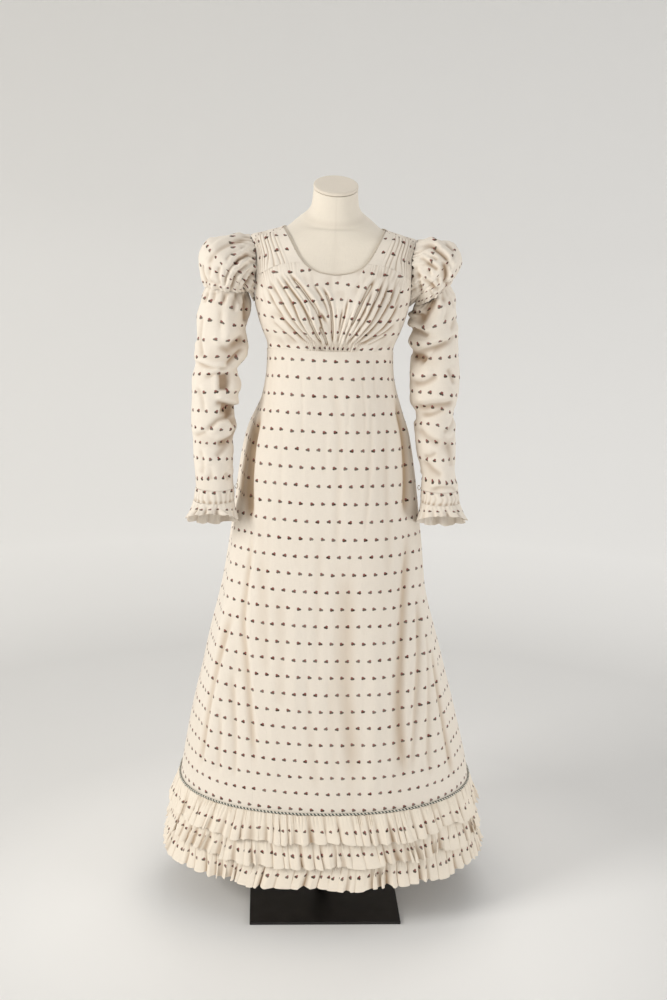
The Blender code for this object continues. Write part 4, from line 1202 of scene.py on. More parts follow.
    def front(self, shop: Workshop) -> None:
        """The one front piece, gathered under the bust and along the cup seams."""
        columns, rows = 330, 96
        share = np.linspace(0, 1, columns + 1)
        climb = np.linspace(0, 1, rows + 1)[:, None]
        low = self.torso.waist(np.array(self.side_front_waist), self.low)
        high = self._drawn_in(self.armhole(self.side_front_angle, self.seam), self.front_core)
        edge = low + (high - low) * climb
        guides = coons(self._front_bottom(share), self._front_top(share), edge * MIRROR, edge)
        base = leaning(lifted(self.torso.skin(guides), STAND))
        u, v = np.broadcast_arrays(share[None], climb)
        folds = self._front_folds(base[..., 0], base[..., 2], u, v)
        grid = lifted(base, folds + self.lap * smoothstep(0.10, 0.0, v))
        spots = np.stack(((u - 0.5) * 0.385, lengths_up(base) * 1.08), -1)
        # painted shade in the troughs of the gathers, strongly mixed in
        shop.cloth("bodice_front", Cut(grid, spots, False, valleys(folds, 0.0026)),
                   Sheet((0.44, 0.18), "gathered", area=0.062),
                   CottonFinish(painted_shade_strength=0.88, shift=(0.006, 0.010)))

    def _front_folds(self, x: Array, z: Array, u: Array, v: Array) -> Array:
        """How far the gathered front stands off its skin.

        Args:
            x: X of each point.
            z: Z of each point.
            u: Its share of the way across.
            v: Its share of the way up.

        Returns:
            Heights of the placed folds, the fine gathers at both edges and the cloth's unevenness.
        """
        place = np.abs(2 * u - 1)
        fine = wave(u * 96 + 0.7 * noise(u * 60, v * 4, 5))
        foot = smoothstep(0.62, 0.46, place) * smoothstep(0.26, 0.03, v)
        cup = smoothstep(0.33, 0.42, place) * smoothstep(0.86, 0.72, place)
        cup = cup * smoothstep(0.74, 0.97, v)
        small = 0.0004 * noise(u * 44, v * 8, 7) * smoothstep(0.95, 0.7, place)
        cloth = 0.0005 * noise(u * 16, v * 9, 6) + small
        placed = self.fold_strength * creased(self.folds, x, z)
        return placed + 0.0008 * fine * foot + 0.0005 * fine * cup + cloth

    def _pair(self, shop: Workshop, name: str, cut: Cut, sheet: Sheet,
              finish: CottonFinish = CottonFinish(), node: str = "") -> None:
        """Makes a piece for each side from the one for the wearer's left.

        Args:
            shop: Dresses the pieces.
            name: Their name, without the side.
            cut: The left one's grid, upright.
            sheet: Their flat size.
            finish: Their cotton.
            node: Their nodes' name, without the side, where it is another.
        """
        for side in (Side.LEFT, Side.RIGHT):
            right = side is Side.RIGHT
            order = -1 if right else 1
            points = leaning(mirrored(cut.points) if right else cut.points)
            turned = Cut(points, cut.spots[:, ::order], False, cut.valley[:, ::order])
            shop.cloth(f"{name}_{side.word}", turned, sheet, finish, f"{node or name}_{side.word}")

    def straps(self, shop: Workshop) -> None:
        """A strap from the cup seam to the shoulder seam on each side, pleated in its middle."""
        columns, rows = 84, 30
        share, climb = np.linspace(0, 1, columns + 1), np.linspace(0, 1, rows + 1)
        low, high = self.cup(share), self.shoulder(share)
        low, high = low + unit(high - low) * self.seam, high + unit(low - high) * self.seam
        place = self.neck_cup + (self.neck_shoulder - self.neck_cup) * climb
        angle = self.cup_angle + (self.shoulder_angle - self.cup_angle) * climb
        neck, arm = self.neck(place, self.edge_inset), self.armhole(angle, self.seam)
        base = lifted(self.torso.skin(coons(low, high, neck, arm)), STAND)
        u, v = np.broadcast_arrays(share[None], climb[:, None])
        held = smoothstep(0.22, 0.32, u) * smoothstep(0.99, 0.90, u)
        turn = u * 12.5 + 0.35 * noise(u * 7, v * 1.6, 12)
        pleats = 0.5 - np.exp(-((turn - np.rint(turn)) / 0.18) ** 2)
        folds = 0.0018 * pleats * held * (0.8 + 0.3 * noise(u * 9, v * 2, 11))
        across = np.linalg.norm(base[:, -1] - base[:, 0], axis=-1).mean()
        spots = np.stack((u * across * 1.25, lengths_up(base)), -1)
        self._pair(shop, "strap", Cut(lifted(base, folds), spots, False, valleys(folds, 0.0009)),
                   Sheet((0.085, 0.085), "gathered", area=0.0062),
                   CottonFinish(shift=(0.004, 0.021)))

    def _centre_back(self, climb: Array) -> Array:
        """The back's inner edge: up the centre-back opening, then along the neckline."""
        low = self.torso.waist(np.array(180.0), self.low)
        high = np.array(self.neckline[-1]) - UPWARDS * self.edge_inset
        straight = low + (high - low) * np.clip(climb / self.opening_end, 0, 1)[:, None]
        last = self.neck_last
        place = last + (self.neck_shoulder - last) * ratio(climb, self.opening_end, 1)
        edge = np.where((climb < self.opening_end)[:, None], straight,
                        self.neck(place, self.edge_inset))
        edge[:, 0] = np.maximum(edge[:, 0], self.seam / 2)
        return edge

    def _side_back(self, climb: Array) -> Array:
        """The back's outer edge: up the side seam, then round the armhole."""
        low = self.torso.waist(np.array(self.side_back_waist), self.low)
        high = self.armhole(np.array(self.side_back_angle), self.seam)
        straight = low + (high - low) * np.clip(climb / self.underarm_end, 0, 1)[:, None]
        turn = self.side_back_angle + (360 + self.shoulder_angle - self.side_back_angle) * ratio(
            climb, self.underarm_end, 1)
        edge = np.where((climb < self.underarm_end)[:, None], straight,
                        self.armhole(turn, self.seam))
        inwards = self.seam / 2 * smoothstep(0.35, 0.25, climb)
        return edge + np.array((-1.0, 1.0, 0.0)) * inwards[:, None]

    def backs(self, shop: Workshop) -> None:
        """A back piece on each side of the centre-back opening, running over the shoulder."""
        columns, rows = 40, 66
        share, climb = np.linspace(0, 1, columns + 1), np.linspace(0, 1, rows + 1)
        degrees = self.side_back_waist + (180 - self.side_back_waist) * share
        waist = self.torso.waist(degrees, self.low)
        waist[:, 0] = np.maximum(waist[:, 0], self.seam / 2)
        ridge = self._drawn_in(self.shoulder(1 - share), self.back_core)
        guides = coons(waist, ridge, self._side_back(climb), self._centre_back(climb))
        base = lifted(self.torso.skin(guides), STAND)
        u, v = np.broadcast_arrays(share[None], climb[:, None])
        gather = wave(u * 8 + 0.3 * noise(u * 6, v * 5, 21))
        pulled = smoothstep(0.30, 0.02, v) * smoothstep(0.35, 0.75, u)
        uneven = 0.0005 * noise(u * 5, v * 9, 22) * smoothstep(0.0, 0.05, u)
        folds = 0.0007 * gather * pulled + uneven
        across = np.linalg.norm(np.diff(base[20], axis=0), axis=-1).sum()
        spots = np.stack((u * across, lengths_up(base)), -1)
        self._pair(shop, "back", Cut(lifted(base, folds), spots, False, valleys(folds, 0.0010)),
                   Sheet((0.17, 0.30), "draped", area=0.037), node="bodice_back")

    def side_bodies(self, shop: Workshop) -> None:
        """The plain piece under each arm."""
        columns, rows = 24, 28
        share, climb = np.linspace(0, 1, columns + 1), np.linspace(0, 1, rows + 1)[:, None]
        angle = self.side_front_waist + (self.side_back_waist - self.side_front_waist) * share
        low = self.torso.waist(angle + 0.35 - 0.70 * share, self.low)
        angle = self.side_front_angle + (self.side_back_angle - self.side_front_angle) * share
        high = self.armhole(angle + 0.9 - 1.8 * share, 2 * self.seam)
        left, right = (low[end] + (high[end] - low[end]) * climb for end in (0, -1))
        base = lifted(self.torso.skin(coons(low, high, left, right)), STAND)
        u, v = np.broadcast_arrays(share[None], climb)
        folds = 0.0005 * noise(u * 4, v * 5, 31)
        spots = np.stack((u * 0.085, lengths_up(base)), -1)
        self._pair(shop, "side_body", Cut(lifted(base, folds), spots, False, np.zeros_like(u)),
                   Sheet((0.085, 0.080), "draped", area=0.0052))

    def binding(self, shop: Workshop) -> None:
        """The fine bound edge all round the neckline."""
        last = self.neck_last
        left = hermite(np.arange(last + 1), self.neckline, np.linspace(0, last, 131))
        guide = np.concatenate((left, left[-2:0:-1] * MIRROR))
        path = leaning(self.torso.off_skin(guide, self.binding_lift + self.binding_radius))
        piece = tube(path, self.binding_radius, 10).sew("neck_binding_cord", 0.0, True)
        # darker than the gown's cream: partly the binding's own tone, partly painted shade for the
        # shadow line along the raised neckline
        finish = CottonFinish("neck_binding_cotton", cream=(0.64, 0.56, 0.46, 1.0), printed=False)
        shop.dress(piece, finish, Slot.COTTON, "neck_binding")

    def band(self, shop: Workshop) -> None:
        """The narrow band between bodice and skirt."""
        columns, rows = 300, 12
        angle = np.linspace(0, 360, columns + 1)
        heights = np.linspace(self.band_low, self.band_high, rows + 1)
        rings = np.array([self.torso.waist(angle, z) for z in heights])
        base = leaning(lifted(rings, STAND, True))
        u, v = np.broadcast_arrays(np.linspace(0, 1, columns + 1)[None],
                                   np.linspace(0, 1, rows + 1)[:, None])
        pucker = 0.0003 * noise(u * 90, v * 2, 41, 90) - 0.0008
        length = np.linalg.norm(np.diff(base[0], axis=0), axis=-1).sum()
        spots = np.stack((u * length, lengths_up(base) + 0.02), -1)
        # painted shade along the band's top edge, under the bodice's lower edge
        cut = Cut(lifted(base, pucker, True), spots, True, 0.25 * smoothstep(0.80, 1.0, v))
        shop.cloth("waistband", cut, Sheet((0.66, 0.0115), "stretched"),
                   CottonFinish(shift=(0.0, 0.004)))

    def build(self, shop: Workshop) -> None:
        """Makes and dresses every piece of the bodice."""
        self.front(shop)
        self.straps(shop)
        self.backs(shop)
        self.side_bodies(shop)
        self.binding(shop)
        self.band(shop)


# The skirt


# The skirt's folds over the arc from its centre front and the height
SKIRT_FOLDS = creases(
    # the deep hollows behind the flat front, and how they run on downwards
    # their painted shade also stands for the shadow that the sleeves cast on the skirt there
    (11.0, 11.0, 0.15, (-160, 1016), (-172, 950), (-174, 885), (-166, 800)),
    (23.0, 8.5, 0.0, (-188, 1004), (-214, 946), (-222, 885), (-214, 822)),
    (6.0, 4.5, 0.4, (-153, 812), (-161, 730), (-171, 616), (-160, 540), (-150, 430), (-141, 320)),
    (9.0, 9.0, 0.15, (146, 1050), (160, 975), (166, 890), (160, 815)),
    (9.0, 6.0, 0.3, (163, 810), (163, 750), (159, 690), (154, 620), (147, 545), (143, 460),
     (148, 370), (158, 290)),
    (6.0, 5.5, 0.5, (192, 680), (196, 610), (193, 550), (184, 455), (176, 370), (172, 300)),
    (5.0, 4.5, 0.5, (214, 640), (214, 550), (212, 455), (209, 360), (214, 280)),
    (7.0, 6.0, 0.4, (222, 590), (238, 490), (252, 420), (270, 340), (284, 270)),
    (7.0, 5.0, 0.5, (-196, 640), (-212, 590), (-228, 530), (-247, 450), (-262, 370), (-280, 290)),
    (5.0, 3.0, 0.5, (-196, 520), (-190, 450), (-186, 370), (-188, 290)),
    (5.0, 3.0, 0.5, (-222, 450), (-220, 380), (-226, 300)),
    # the front's long soft folds
    (2.6, 0.7, 0.6, (-56, 1126), (-55, 1050), (-58, 960)),
    (6.0, 1.2, 0.4, (3, 1112), (6, 1045), (14, 970), (13, 860), (12, 745)),
    (3.4, 0.8, 0.6, (32, 1076), (29, 990), (36, 880)),
    (2.6, 0.8, 0.6, (58, 1118), (61, 1045), (64, 960)),
    (3.2, 0.9, 0.6, (73, 1066), (75, 970), (73, 895), (66, 780)),
    (2.6, 0.7, 0.6, (82, 1126), (84, 1040)),
    (6.0, 0.9, 0.5, (-90, 1020), (-94, 910), (-96, 800)),
    (6.0, 1.0, 0.4, (-17, 820), (-19, 670), (-21, 475)),
    (13.0, 2.6, 0.2, (30, 760), (35, 630), (32, 510), (44, 390), (52, 300)),
    (11.0, 2.0, 0.3, (-92, 700), (-88, 580), (-90, 440)),
    (9.0, -2.2, 0.0, (82, 610), (93, 470), (88, 350), (80, 260)),
    (7.0, 1.5, 0.5, (-42, 560), (-32, 430), (-22, 280)),
    (7.0, 1.4, 0.4, (-130, 760), (-121, 630), (-117, 500)),
    (5.0, 1.2, 0.5, (106, 1010), (108, 910), (116, 800), (118, 690)),
    (8.0, -1.6, 0.0, (-62, 700), (-60, 560), (-66, 420)),
    (6.0, 1.1, 0.4, (4, 540), (8, 430), (12, 290)),
    (7.0, -1.3, 0.0, (-112, 540), (-106, 400), (-104, 290)),
    (3.0, 0.6, 0.6, (-30, 1128), (-29, 1070)),
    (3.0, 0.6, 0.6, (-84, 1126), (-87, 1060)),
    (4.0, 0.7, 0.5, (-10, 1000), (-12, 900)),
)


@dataclass
class SkirtForm:
    """The plain skirt's rings and the soft folds that its solid has."""

    # height, half width, middle's X and Y, front, back, superellipse power, arc to the back seam
    rows: Table = (
        (0.090, 0.3140, 0.0020, 0.060, 0.2310, 0.2760, 2.15, 0.530),
        (0.242, 0.2950, 0.0020, 0.056, 0.2190, 0.2640, 2.20, 0.500),
        (0.378, 0.2680, -0.0025, 0.046, 0.2030, 0.2480, 2.30, 0.455),
        (0.516, 0.2340, -0.0055, 0.036, 0.1850, 0.2280, 2.45, 0.408),
        (0.650, 0.2005, -0.0070, 0.026, 0.1640, 0.2040, 2.55, 0.362),
        (0.783, 0.1805, -0.0055, 0.018, 0.1430, 0.1750, 2.60, 0.316),
        (0.900, 0.1655, -0.0055, 0.012, 0.1270, 0.1460, 2.55, 0.276),
        (0.960, 0.1545, -0.0050, 0.008, 0.1180, 0.1300, 2.50, 0.255),
        (1.020, 0.1335, -0.0040, 0.004, 0.1085, 0.1130, 2.45, 0.235),
        (1.055, 0.1245, -0.0050, 0.002, 0.1030, 0.1030, 2.40, 0.223),
        (1.086, 0.1195, -0.0060, 0.000, 0.0985, 0.0930, 2.35, 0.212),
        (1.120, 0.1183, -0.0062, 0.000, 0.0955, 0.0855, 2.30, 0.200),
        (1.150, 0.1250, -0.0060, 0.000, 0.1035, 0.0900, 2.30, 0.205),
    )
    # arc at the top and at the bottom, width, height, then heights of top, full depth and bottom
    folds: Table = (
        (0.165, 0.185, 0.016, -0.0045, 1.000, 0.800, 0.270),
        (0.200, 0.245, 0.020, 0.0045, 1.000, 0.700, 0.270),
        (0.225, 0.310, 0.018, -0.0040, 0.900, 0.600, 0.270),
        (-0.168, -0.190, 0.018, -0.0045, 1.000, 0.700, 0.270),
        (-0.205, -0.255, 0.022, 0.0035, 1.000, 0.650, 0.270),
        (-0.230, -0.320, 0.020, -0.0035, 0.900, 0.600, 0.270),
    )
    back_folds: int = 10
    back_depth: float = 0.0050
    angles: int = 1441             # points at which half a ring is measured
    shares: int = 720              # even shares of its length that are kept
    reach: int = 5                 # shares on each side over which a normal is taken
    step: float = 0.004
    lowest: float = 0.090
    highest: float = 1.1501
    lap: float = 0.0012            # how far the upper edge laps over the waist's line

    def __post_init__(self) -> None:
        """Spreads the rings over closely spaced heights and even shares of their length."""
        table = np.array(self.rows)
        self.levels = np.arange(self.lowest, self.highest, self.step)
        sizes = hermite(table[:, 0], table[:, 1:], self.levels)
        angle = np.linspace(0, pi, self.angles)
        even = np.linspace(0, 1, self.shares + 1)
        self.mid_x, self.gore = sizes[:, 1], sizes[:, 6]
        self.half = np.empty(len(sizes))
        self.table = np.empty((len(sizes), self.shares + 1, 4))
        for k, (width, _, mid_y, front, back, roundness, _) in enumerate(sizes):
            x = width * power(np.sin(angle), 2 / roundness)
            deep = power(np.cos(angle), 2 / roundness)
            y = mid_y - np.where(deep > 0, front, back) * deep
            arcs = np.concatenate(([0.0], np.cumsum(np.hypot(np.diff(x), np.diff(y)))))
            self.half[k] = arcs[-1]
            places = even * arcs[-1]
            ring = np.stack((np.interp(places, arcs, x), np.interp(places, arcs, y)), -1)
            before, after = (ring[part][::-1] * MIRROR[:2]
                             for part in (slice(1, self.reach + 1), slice(-self.reach - 1, -1)))
            wide = np.concatenate((before, ring, after))
            along = wide[2 * self.reach:] - wide[:-2 * self.reach]
            normal = unit(np.stack((along[:, 1], -along[:, 0]), -1))
            self.table[k] = np.concatenate((ring, normal), -1)

    def read(self, values: Array, z: Array) -> Array:
        """A ring's size at each height."""
        return np.interp(z, self.levels, values)

    def base(self, arc: Array, z: Array) -> tuple[Array, Array]:
        """The plain skirt's points and outward normals.

        Args:
            arc: Signed arc from the centre front, positive on the wearer's left.
            z: Height.

        Returns:
            Points and unit normals.
        """
        arc, z = np.broadcast_arrays(np.asarray(arc, float), np.asarray(z, float))
        k = np.clip((z - self.lowest) / self.step, 0, len(self.levels) - 1.001)
        level, rise = k.astype(int), k - k.astype(int)
        found = 0.0
        for shift, weight in ((0, 1 - rise), (1, rise)):
            place = np.clip(np.abs(arc) / self.half[level + shift], 0, 1) * (self.shares - 1e-6)
            index, part = place.astype(int), (place - place.astype(int))[..., None]
            near, far = (self.table[level + shift, index + more] for more in (0, 1))
            found = found + (near * (1 - part) + far * part) * weight[..., None]
        side = np.where(arc >= 0, 1.0, -1.0)
        point = np.stack((side * found[..., 0] + self.read(self.mid_x, z), found[..., 1], z), -1)
        normal = unit(np.stack((side * found[..., 2], found[..., 3], np.zeros_like(z)), -1))
        return point, normal

    def drape(self, arc: Array, z: Array) -> Array:
        """How far the solid's own folds stand out from the plain rings."""
        out = np.zeros(np.broadcast(arc, z).shape)
        for top, bottom, width, height, z_top, z_full, z_bottom in self.folds:
            run = np.clip((z_top - z) / (z_top - z_bottom), 0, 1)
            centre = top + (bottom - top) * run
            fade = smoothstep(z_top, z_full, z) * smoothstep(z_bottom, z_bottom + 0.12, z)
            out = out + height * fade * bell(arc - centre, width)
        gore, half = self.read(self.gore, z), self.read(self.half, z)
        back = ratio(np.abs(arc), gore, half)
        fade = smoothstep(0.26, 0.40, z) * (0.35 + 0.65 * smoothstep(1.11, 0.98, z))
        swell = self.back_depth * fade * smoothstep(0.0, 0.12, back)
        return out + np.where(back > 0, swell * (1.0 - np.cos(pi * self.back_folds * back)), 0.0)

    def top(self, torso: Torso, low: float, arc: Array) -> Array:
        """World height of the skirt's upper edge."""
        point, _ = self.base(arc, np.full(np.shape(arc), low))
        z = low + torso.waist_rise(point[..., 1]) + self.lap
        local = np.stack((point[..., 0] - LEAN_PIVOT[0], point[..., 1], z), -1)
        return leaning(local)[..., 2]


@dataclass
class Skirt:
    """The skirt: a flat front, a gore at each side and a gathered back."""

    torso: Torso
    form: SkirtForm
    waist: float = 1.1213
    hem: float = 0.108
    stand: float = 0.0015
    front_half: float = 0.150
    gap: float = 0.00005
    back_width: float = 0.92
    held_by: tuple[str, ...] = ("waistband",)
    folds: tuple[Crease, ...] = SKIRT_FOLDS
    # painted shade in the skirt's folds and hollows, lighter than the default
    finish: CottonFinish = CottonFinish(valley=(0.42, 0.28, 0.155, 1.0), painted_shade_strength=0.80)

    def _grid(self, shares: Array, arcs: Callable[[Array, Array], Array],
              rows: int) -> tuple[Array, Array]:
        """Places a panel's columns between its seams.

        Args:
            shares: Each column's share of the way from one seam to the other.
            arcs: Gives the arc of a share at a height.
            rows: Rows from hem to waist.

        Returns:
            Arcs and heights by row and column.
        """
        down = np.linspace(1, 0, rows + 1)[:, None]
        edge = arcs(shares, np.full(shares.shape, self.waist))
        top = self.form.top(self.torso, self.waist, edge)[None]
        z = top + (self.hem - top) * down ** 1.12
        return arcs(np.broadcast_to(shares[None], z.shape), z), z

    @staticmethod
    def _inland(away: Array) -> Array:
        """Fades a panel's own folds out at its seams, where it lies level with its neighbour."""
        return smoothstep(0.0, 0.014, away)

    def _sew(self, shop: Workshop, name: str, place: tuple[Array, Array], folds: Array,
             sheet: Sheet, across: Array | None = None) -> None:
        """Makes and dresses a panel over the plain skirt.

        Args:
            shop: Dresses the panel.
            name: The panel's name.
            place: The arc and the height of each of its points.
            folds: How far it stands off the soft folds of the skirt's solid.
            sheet: Its flat size.
            across: The cloth's own first coordinate, where it isn't the arc.
        """
        base, normal = self.form.base(*place)
        stand = self.form.drape(*place) + self.stand
        down = np.flip(lengths_up(np.flip(base, 0)), 0)
        # the print's rows lie a little closer together lower down
        print_down = down - 0.0065 * np.sin(np.clip(down / 0.88, 0, 1) * pi)
        print_down = print_down - 0.0080 * np.exp(-down / 0.09)
        print_down = print_down - 0.0045 * smoothstep(0.5, 0.88, down)
        spots = np.stack((place[0] if across is None else across, -print_down), -1)
        points = base + normal * (stand + folds)[..., None]
        shop.cloth(name, Cut(points, spots, False, valleys(folds, 0.0075)), sheet, self.finish)

    def front(self, shop: Workshop) -> None:
        """The flat front panel."""
        reach = self.front_half - self.gap
        arc, z = self._grid(np.linspace(-1, 1, 121), lambda share, _: share * reach, 138)
        below = z[-1][None] - z
        threads = 0.00025 * noise(arc * 130 + 40, below * 3, 52)
        soft = 0.0007 * noise(arc * 22 + 8, below * 5, 51) + threads
        folds = creased(self.folds, arc, z) + soft * self._inland(reach - np.abs(arc))
        self._sew(shop, "skirt_front", (arc, z), folds,
                  Sheet((0.30, 1.04), "hung", self.held_by, 0.31))

    def sides(self, shop: Workshop) -> None:
        """The gore at each side."""
        for side in (Side.RIGHT, Side.LEFT):
            sign = side.value

            def arcs(share: Array, z: Array) -> Array:
                """The arc of a share at a height."""
                low = self.front_half + self.gap
                high = self.form.read(self.form.gore, z) - self.gap
                part = share if sign > 0 else 1 - share
                return sign * (low + (high - low) * part)

            arc, z = self._grid(np.linspace(0, 1, 71), arcs, 140)
            below = z[-1][None] - z
            away = np.minimum(np.abs(arc) - self.front_half,
                              self.form.read(self.form.gore, z) - np.abs(arc))
            soft = 0.0009 * noise(arc * 20 + 30, below * 5, 61 + sign)
            folds = creased(self.folds, arc, z) + soft * self._inland(away)
            self._sew(shop, "skirt_side_" + side.word, (arc, z), folds,
                      Sheet((0.38, 1.05), "hung", self.held_by, 0.24))

    def back(self, shop: Workshop) -> None:
        """The gathered back."""
        def arcs(share: Array, z: Array) -> Array:
            """The arc of a share at a height, round by the centre back."""
            gore, half = self.form.read(self.form.gore, z), self.form.read(self.form.half, z)
            reach = gore + self.gap + (half - gore - self.gap) * (1 - np.abs(share))
            return np.where(share <= 0, reach, -reach)

        shares = np.linspace(-1, 1, 181)
        arc, z = self._grid(shares, arcs, 92)
        share = shares[None] * np.ones_like(z)
        below = z[-1][None] - z
        gathers = wave(share * 24 + 0.5 * noise(share * 20 + 20, below * 4, 71))
        fine = gathers * (0.6 + 0.4 * noise(share * 16 + 16, below * 5, 72))
        edge = 0.4 + 0.6 * smoothstep(0.0, 0.02, below)
        folds = 0.0016 * fine * smoothstep(0.40, 0.03, below) * edge
        folds = folds + 0.0025 * noise(share * 9 + 9, below * 3, 73) * smoothstep(0.05, 0.3, below)
        folds = folds * self._inland(self.form.read(self.form.half, z) * (1 - np.abs(share)))
        folds = folds + creased(self.folds, arc, z)
        self._sew(shop, "skirt_back", (arc, z), folds,
                  Sheet((self.back_width, 1.05), "hung", self.held_by, 0.80),
                  share * self.back_width / 2)

    def build(self, shop: Workshop) -> None:
        """Makes and dresses the four panels."""
        self.front(shop)
        self.sides(shop)
        self.back(shop)


@dataclass(frozen=True)
class FlounceSizes:
    """One flounce's heights and how far it stands off the plain skirt."""

    node: str
    top: float
    bottom: float
    stand_bottom: float
    seed: int
    print_shift: float
    stand_top: float = 0.0030


@dataclass
class Trim:
    """Three gathered flounces under a fine striped cord."""

    form: SkirtForm
    flounces: tuple[FlounceSizes, ...] = (
        FlounceSizes("flounce_1", 0.2425, 0.1880, 0.0150, 81, 0.007, 0.0040),
        FlounceSizes("flounce_2", 0.1960, 0.1410, 0.0165, 82, 0.014),
        FlounceSizes("flounce_3", 0.1500, 0.0960, 0.0180, 83, 0.021),
    )
    cord_height: float = 0.2450
    cord_radius: float = 0.0018
    cord_stand: float = 0.0024
    columns: int = 1000
    rows: int = 14
    fold_narrow: float = 0.009
    fold_wide: float = 0.032
    fold_depth: float = 0.0088
    clear: float = 0.0105          # how far the lower part stays off the plain skirt
    # painted light: a lighter copy of the gown's cream, so the flounces look more brightly lit
    cream: Colour = (0.835, 0.750, 0.635, 1.0)

    def _turns(self, length: float, seed: int) -> Array:
        """The count of folds passed at even steps round the ring, for folds of uneven width."""
        chance = np.random.default_rng(seed)
        most = int(2 * length / self.fold_narrow)
        widths = chance.uniform(self.fold_narrow, self.fold_wide, most)
        count = int(np.searchsorted(np.cumsum(widths), length))
        edges = np.concatenate(([0.0], np.cumsum(widths[:count])))
        edges = edges / edges[-1]
        return np.interp(np.linspace(0, 1, self.columns + 1), edges, np.arange(count + 1))

    def _chances(self, passed: Array, seed: int, *ranges: tuple[float, float]) -> list[Array]:
        """Chance values for each fold, eased from one fold to the next.

        Args:
            passed: The folds passed at each column; the last fold runs into the first.
            seed: Picks the values.
            ranges: The least and the greatest value of each kind.

        Returns:
            A row of values for each kind.
        """
        chance = np.random.default_rng(seed)
        count = int(round(passed[-1]))
        rows = []
        for low, high in ranges:
            values = chance.uniform(low, high, count + 1)
            values[-1] = values[0]
            rows.append(np.interp(passed, np.arange(count + 1), values)[None])
        return rows

    def _flounce(self, shop: Workshop, sizes: FlounceSizes) -> None:
        """One flounce: fine gathers at the top that open into crisp uneven folds."""
        seed = sizes.seed
        length = 2 * float(self.form.read(self.form.half, np.array(sizes.bottom)))
        passed = self._turns(length, seed)
        turns = passed[None]
        size, skew, lean = self._chances(passed, seed + 100, (0.20, 1.50), (-1.0, 1.0), (0.55, 1.8))
        share = np.linspace(0, 1, self.columns + 1)[None]
        down = np.concatenate((np.linspace(0, 0.93, self.rows - 2), (0.97, 1.0)))[::-1][:, None]
        phase = turns - np.floor(turns)
        face = np.sin(pi * phase ** lean) ** 0.75
        crest = (face - 0.55) * size
        opened = smoothstep(0.08, 0.92, down)
        broad = noise(share * 30, down * 1.5, seed + 8, 30) * opened
        fine = wave(4 * turns) * (0.6 + 0.4 * noise(turns * 2.0, down * 2, seed + 7))
        crumple = 0.0016 * noise(turns * 2.4, down * 3 + 2, seed + 9) * (0.4 + 0.6 * opened)
        folds = self.fold_depth * crest * (0.16 + 0.84 * opened)
        folds = folds + 0.0017 * fine * smoothstep(0.75, 0.10, down)
        folds = folds + crumple + 0.0044 * broad
        slide = 0.0080 * skew * wave(phase) * opened
        slide = slide + 0.0130 * noise(share * 14, 0 * down + 3, seed + 11, 14) * down
        z = sizes.top + (sizes.bottom - sizes.top) * down + 0 * share
        half = self.form.read(self.form.half, z)
        arc = half * (2 * share - 1) + slide
        arc = np.where(arc > half, arc - 2 * half, np.where(arc < -half, arc + 2 * half, arc))
        z = z + (0.0026 * skew - 0.0034 * crest - 0.0062 * broad) * down
        base, normal = self.form.base(arc, z)
        grid = base + normal * self._lift(sizes, down, folds)[..., None]
        grid[:, -1] = grid[:, 0]
        spots = np.stack(np.broadcast_arrays(
            lengths_along(grid[0])[None], (sizes.top - sizes.bottom) * (1 - down)), -1)
        # painted shade in the folds' troughs, stronger where they open out and where they are large
        valley = np.clip((0.50 - face) / 0.50, 0, 1) * (0.45 + 0.55 * opened)
        valley = valley * np.clip(0.4 + 0.7 * size, 0, 1)
        finish = CottonFinish(cream=self.cream, painted_shade_strength=0.95,
                              shift=(sizes.print_shift, -0.0068))
        shop.cloth(sizes.node, Cut(grid, spots, True, valley),
                   Sheet((2.45, 0.056), "gathered", ("skirt_front", "skirt_back")), finish)

    def _lift(self, sizes: FlounceSizes, down: Array, folds: Array) -> Array:
        """How far a flounce lies off the plain skirt.

        Args:
            sizes: The flounce's sizes.
            down: Each row's share of the way down.
            folds: Height of its folds.

        Returns:
            A height for each point.
        """
        stand = sizes.stand_top + (sizes.stand_bottom - sizes.stand_top) * down ** 0.9
        roll = 0.0008 * smoothstep(0.94, 0.97, down)
        # the lower part never sinks into the next flounce's gathered edge
        lift, least = stand + folds + roll, self.clear * smoothstep(0.50, 0.80, down)
        return least + 0.5 * ((lift - least) + np.hypot(lift - least, 0.0015))

    def _cord(self, shop: Workshop) -> None:
        """The striped cord along the first flounce's gathered edge."""
        half = float(self.form.read(self.form.half, np.array(self.cord_height)))
        arc = half * np.linspace(-1, 1, 721)[:-1]
        base, normal = self.form.base(arc, np.full(arc.shape, self.cord_height))
        path = base + normal * (self.cord_stand + self.cord_radius)
        piece = tube(path, self.cord_radius, 10).sew("hem_cord_braid", 0.0, True)
        shop.dress(piece, CordFinish("hem_cord_thread"), Slot.CORD, "hem_cord")

    def build(self, shop: Workshop) -> None:
        """Makes and dresses the flounces and the cord."""
        for sizes in self.flounces:
            self._flounce(shop, sizes)
        self._cord(shop)


# The sleeves


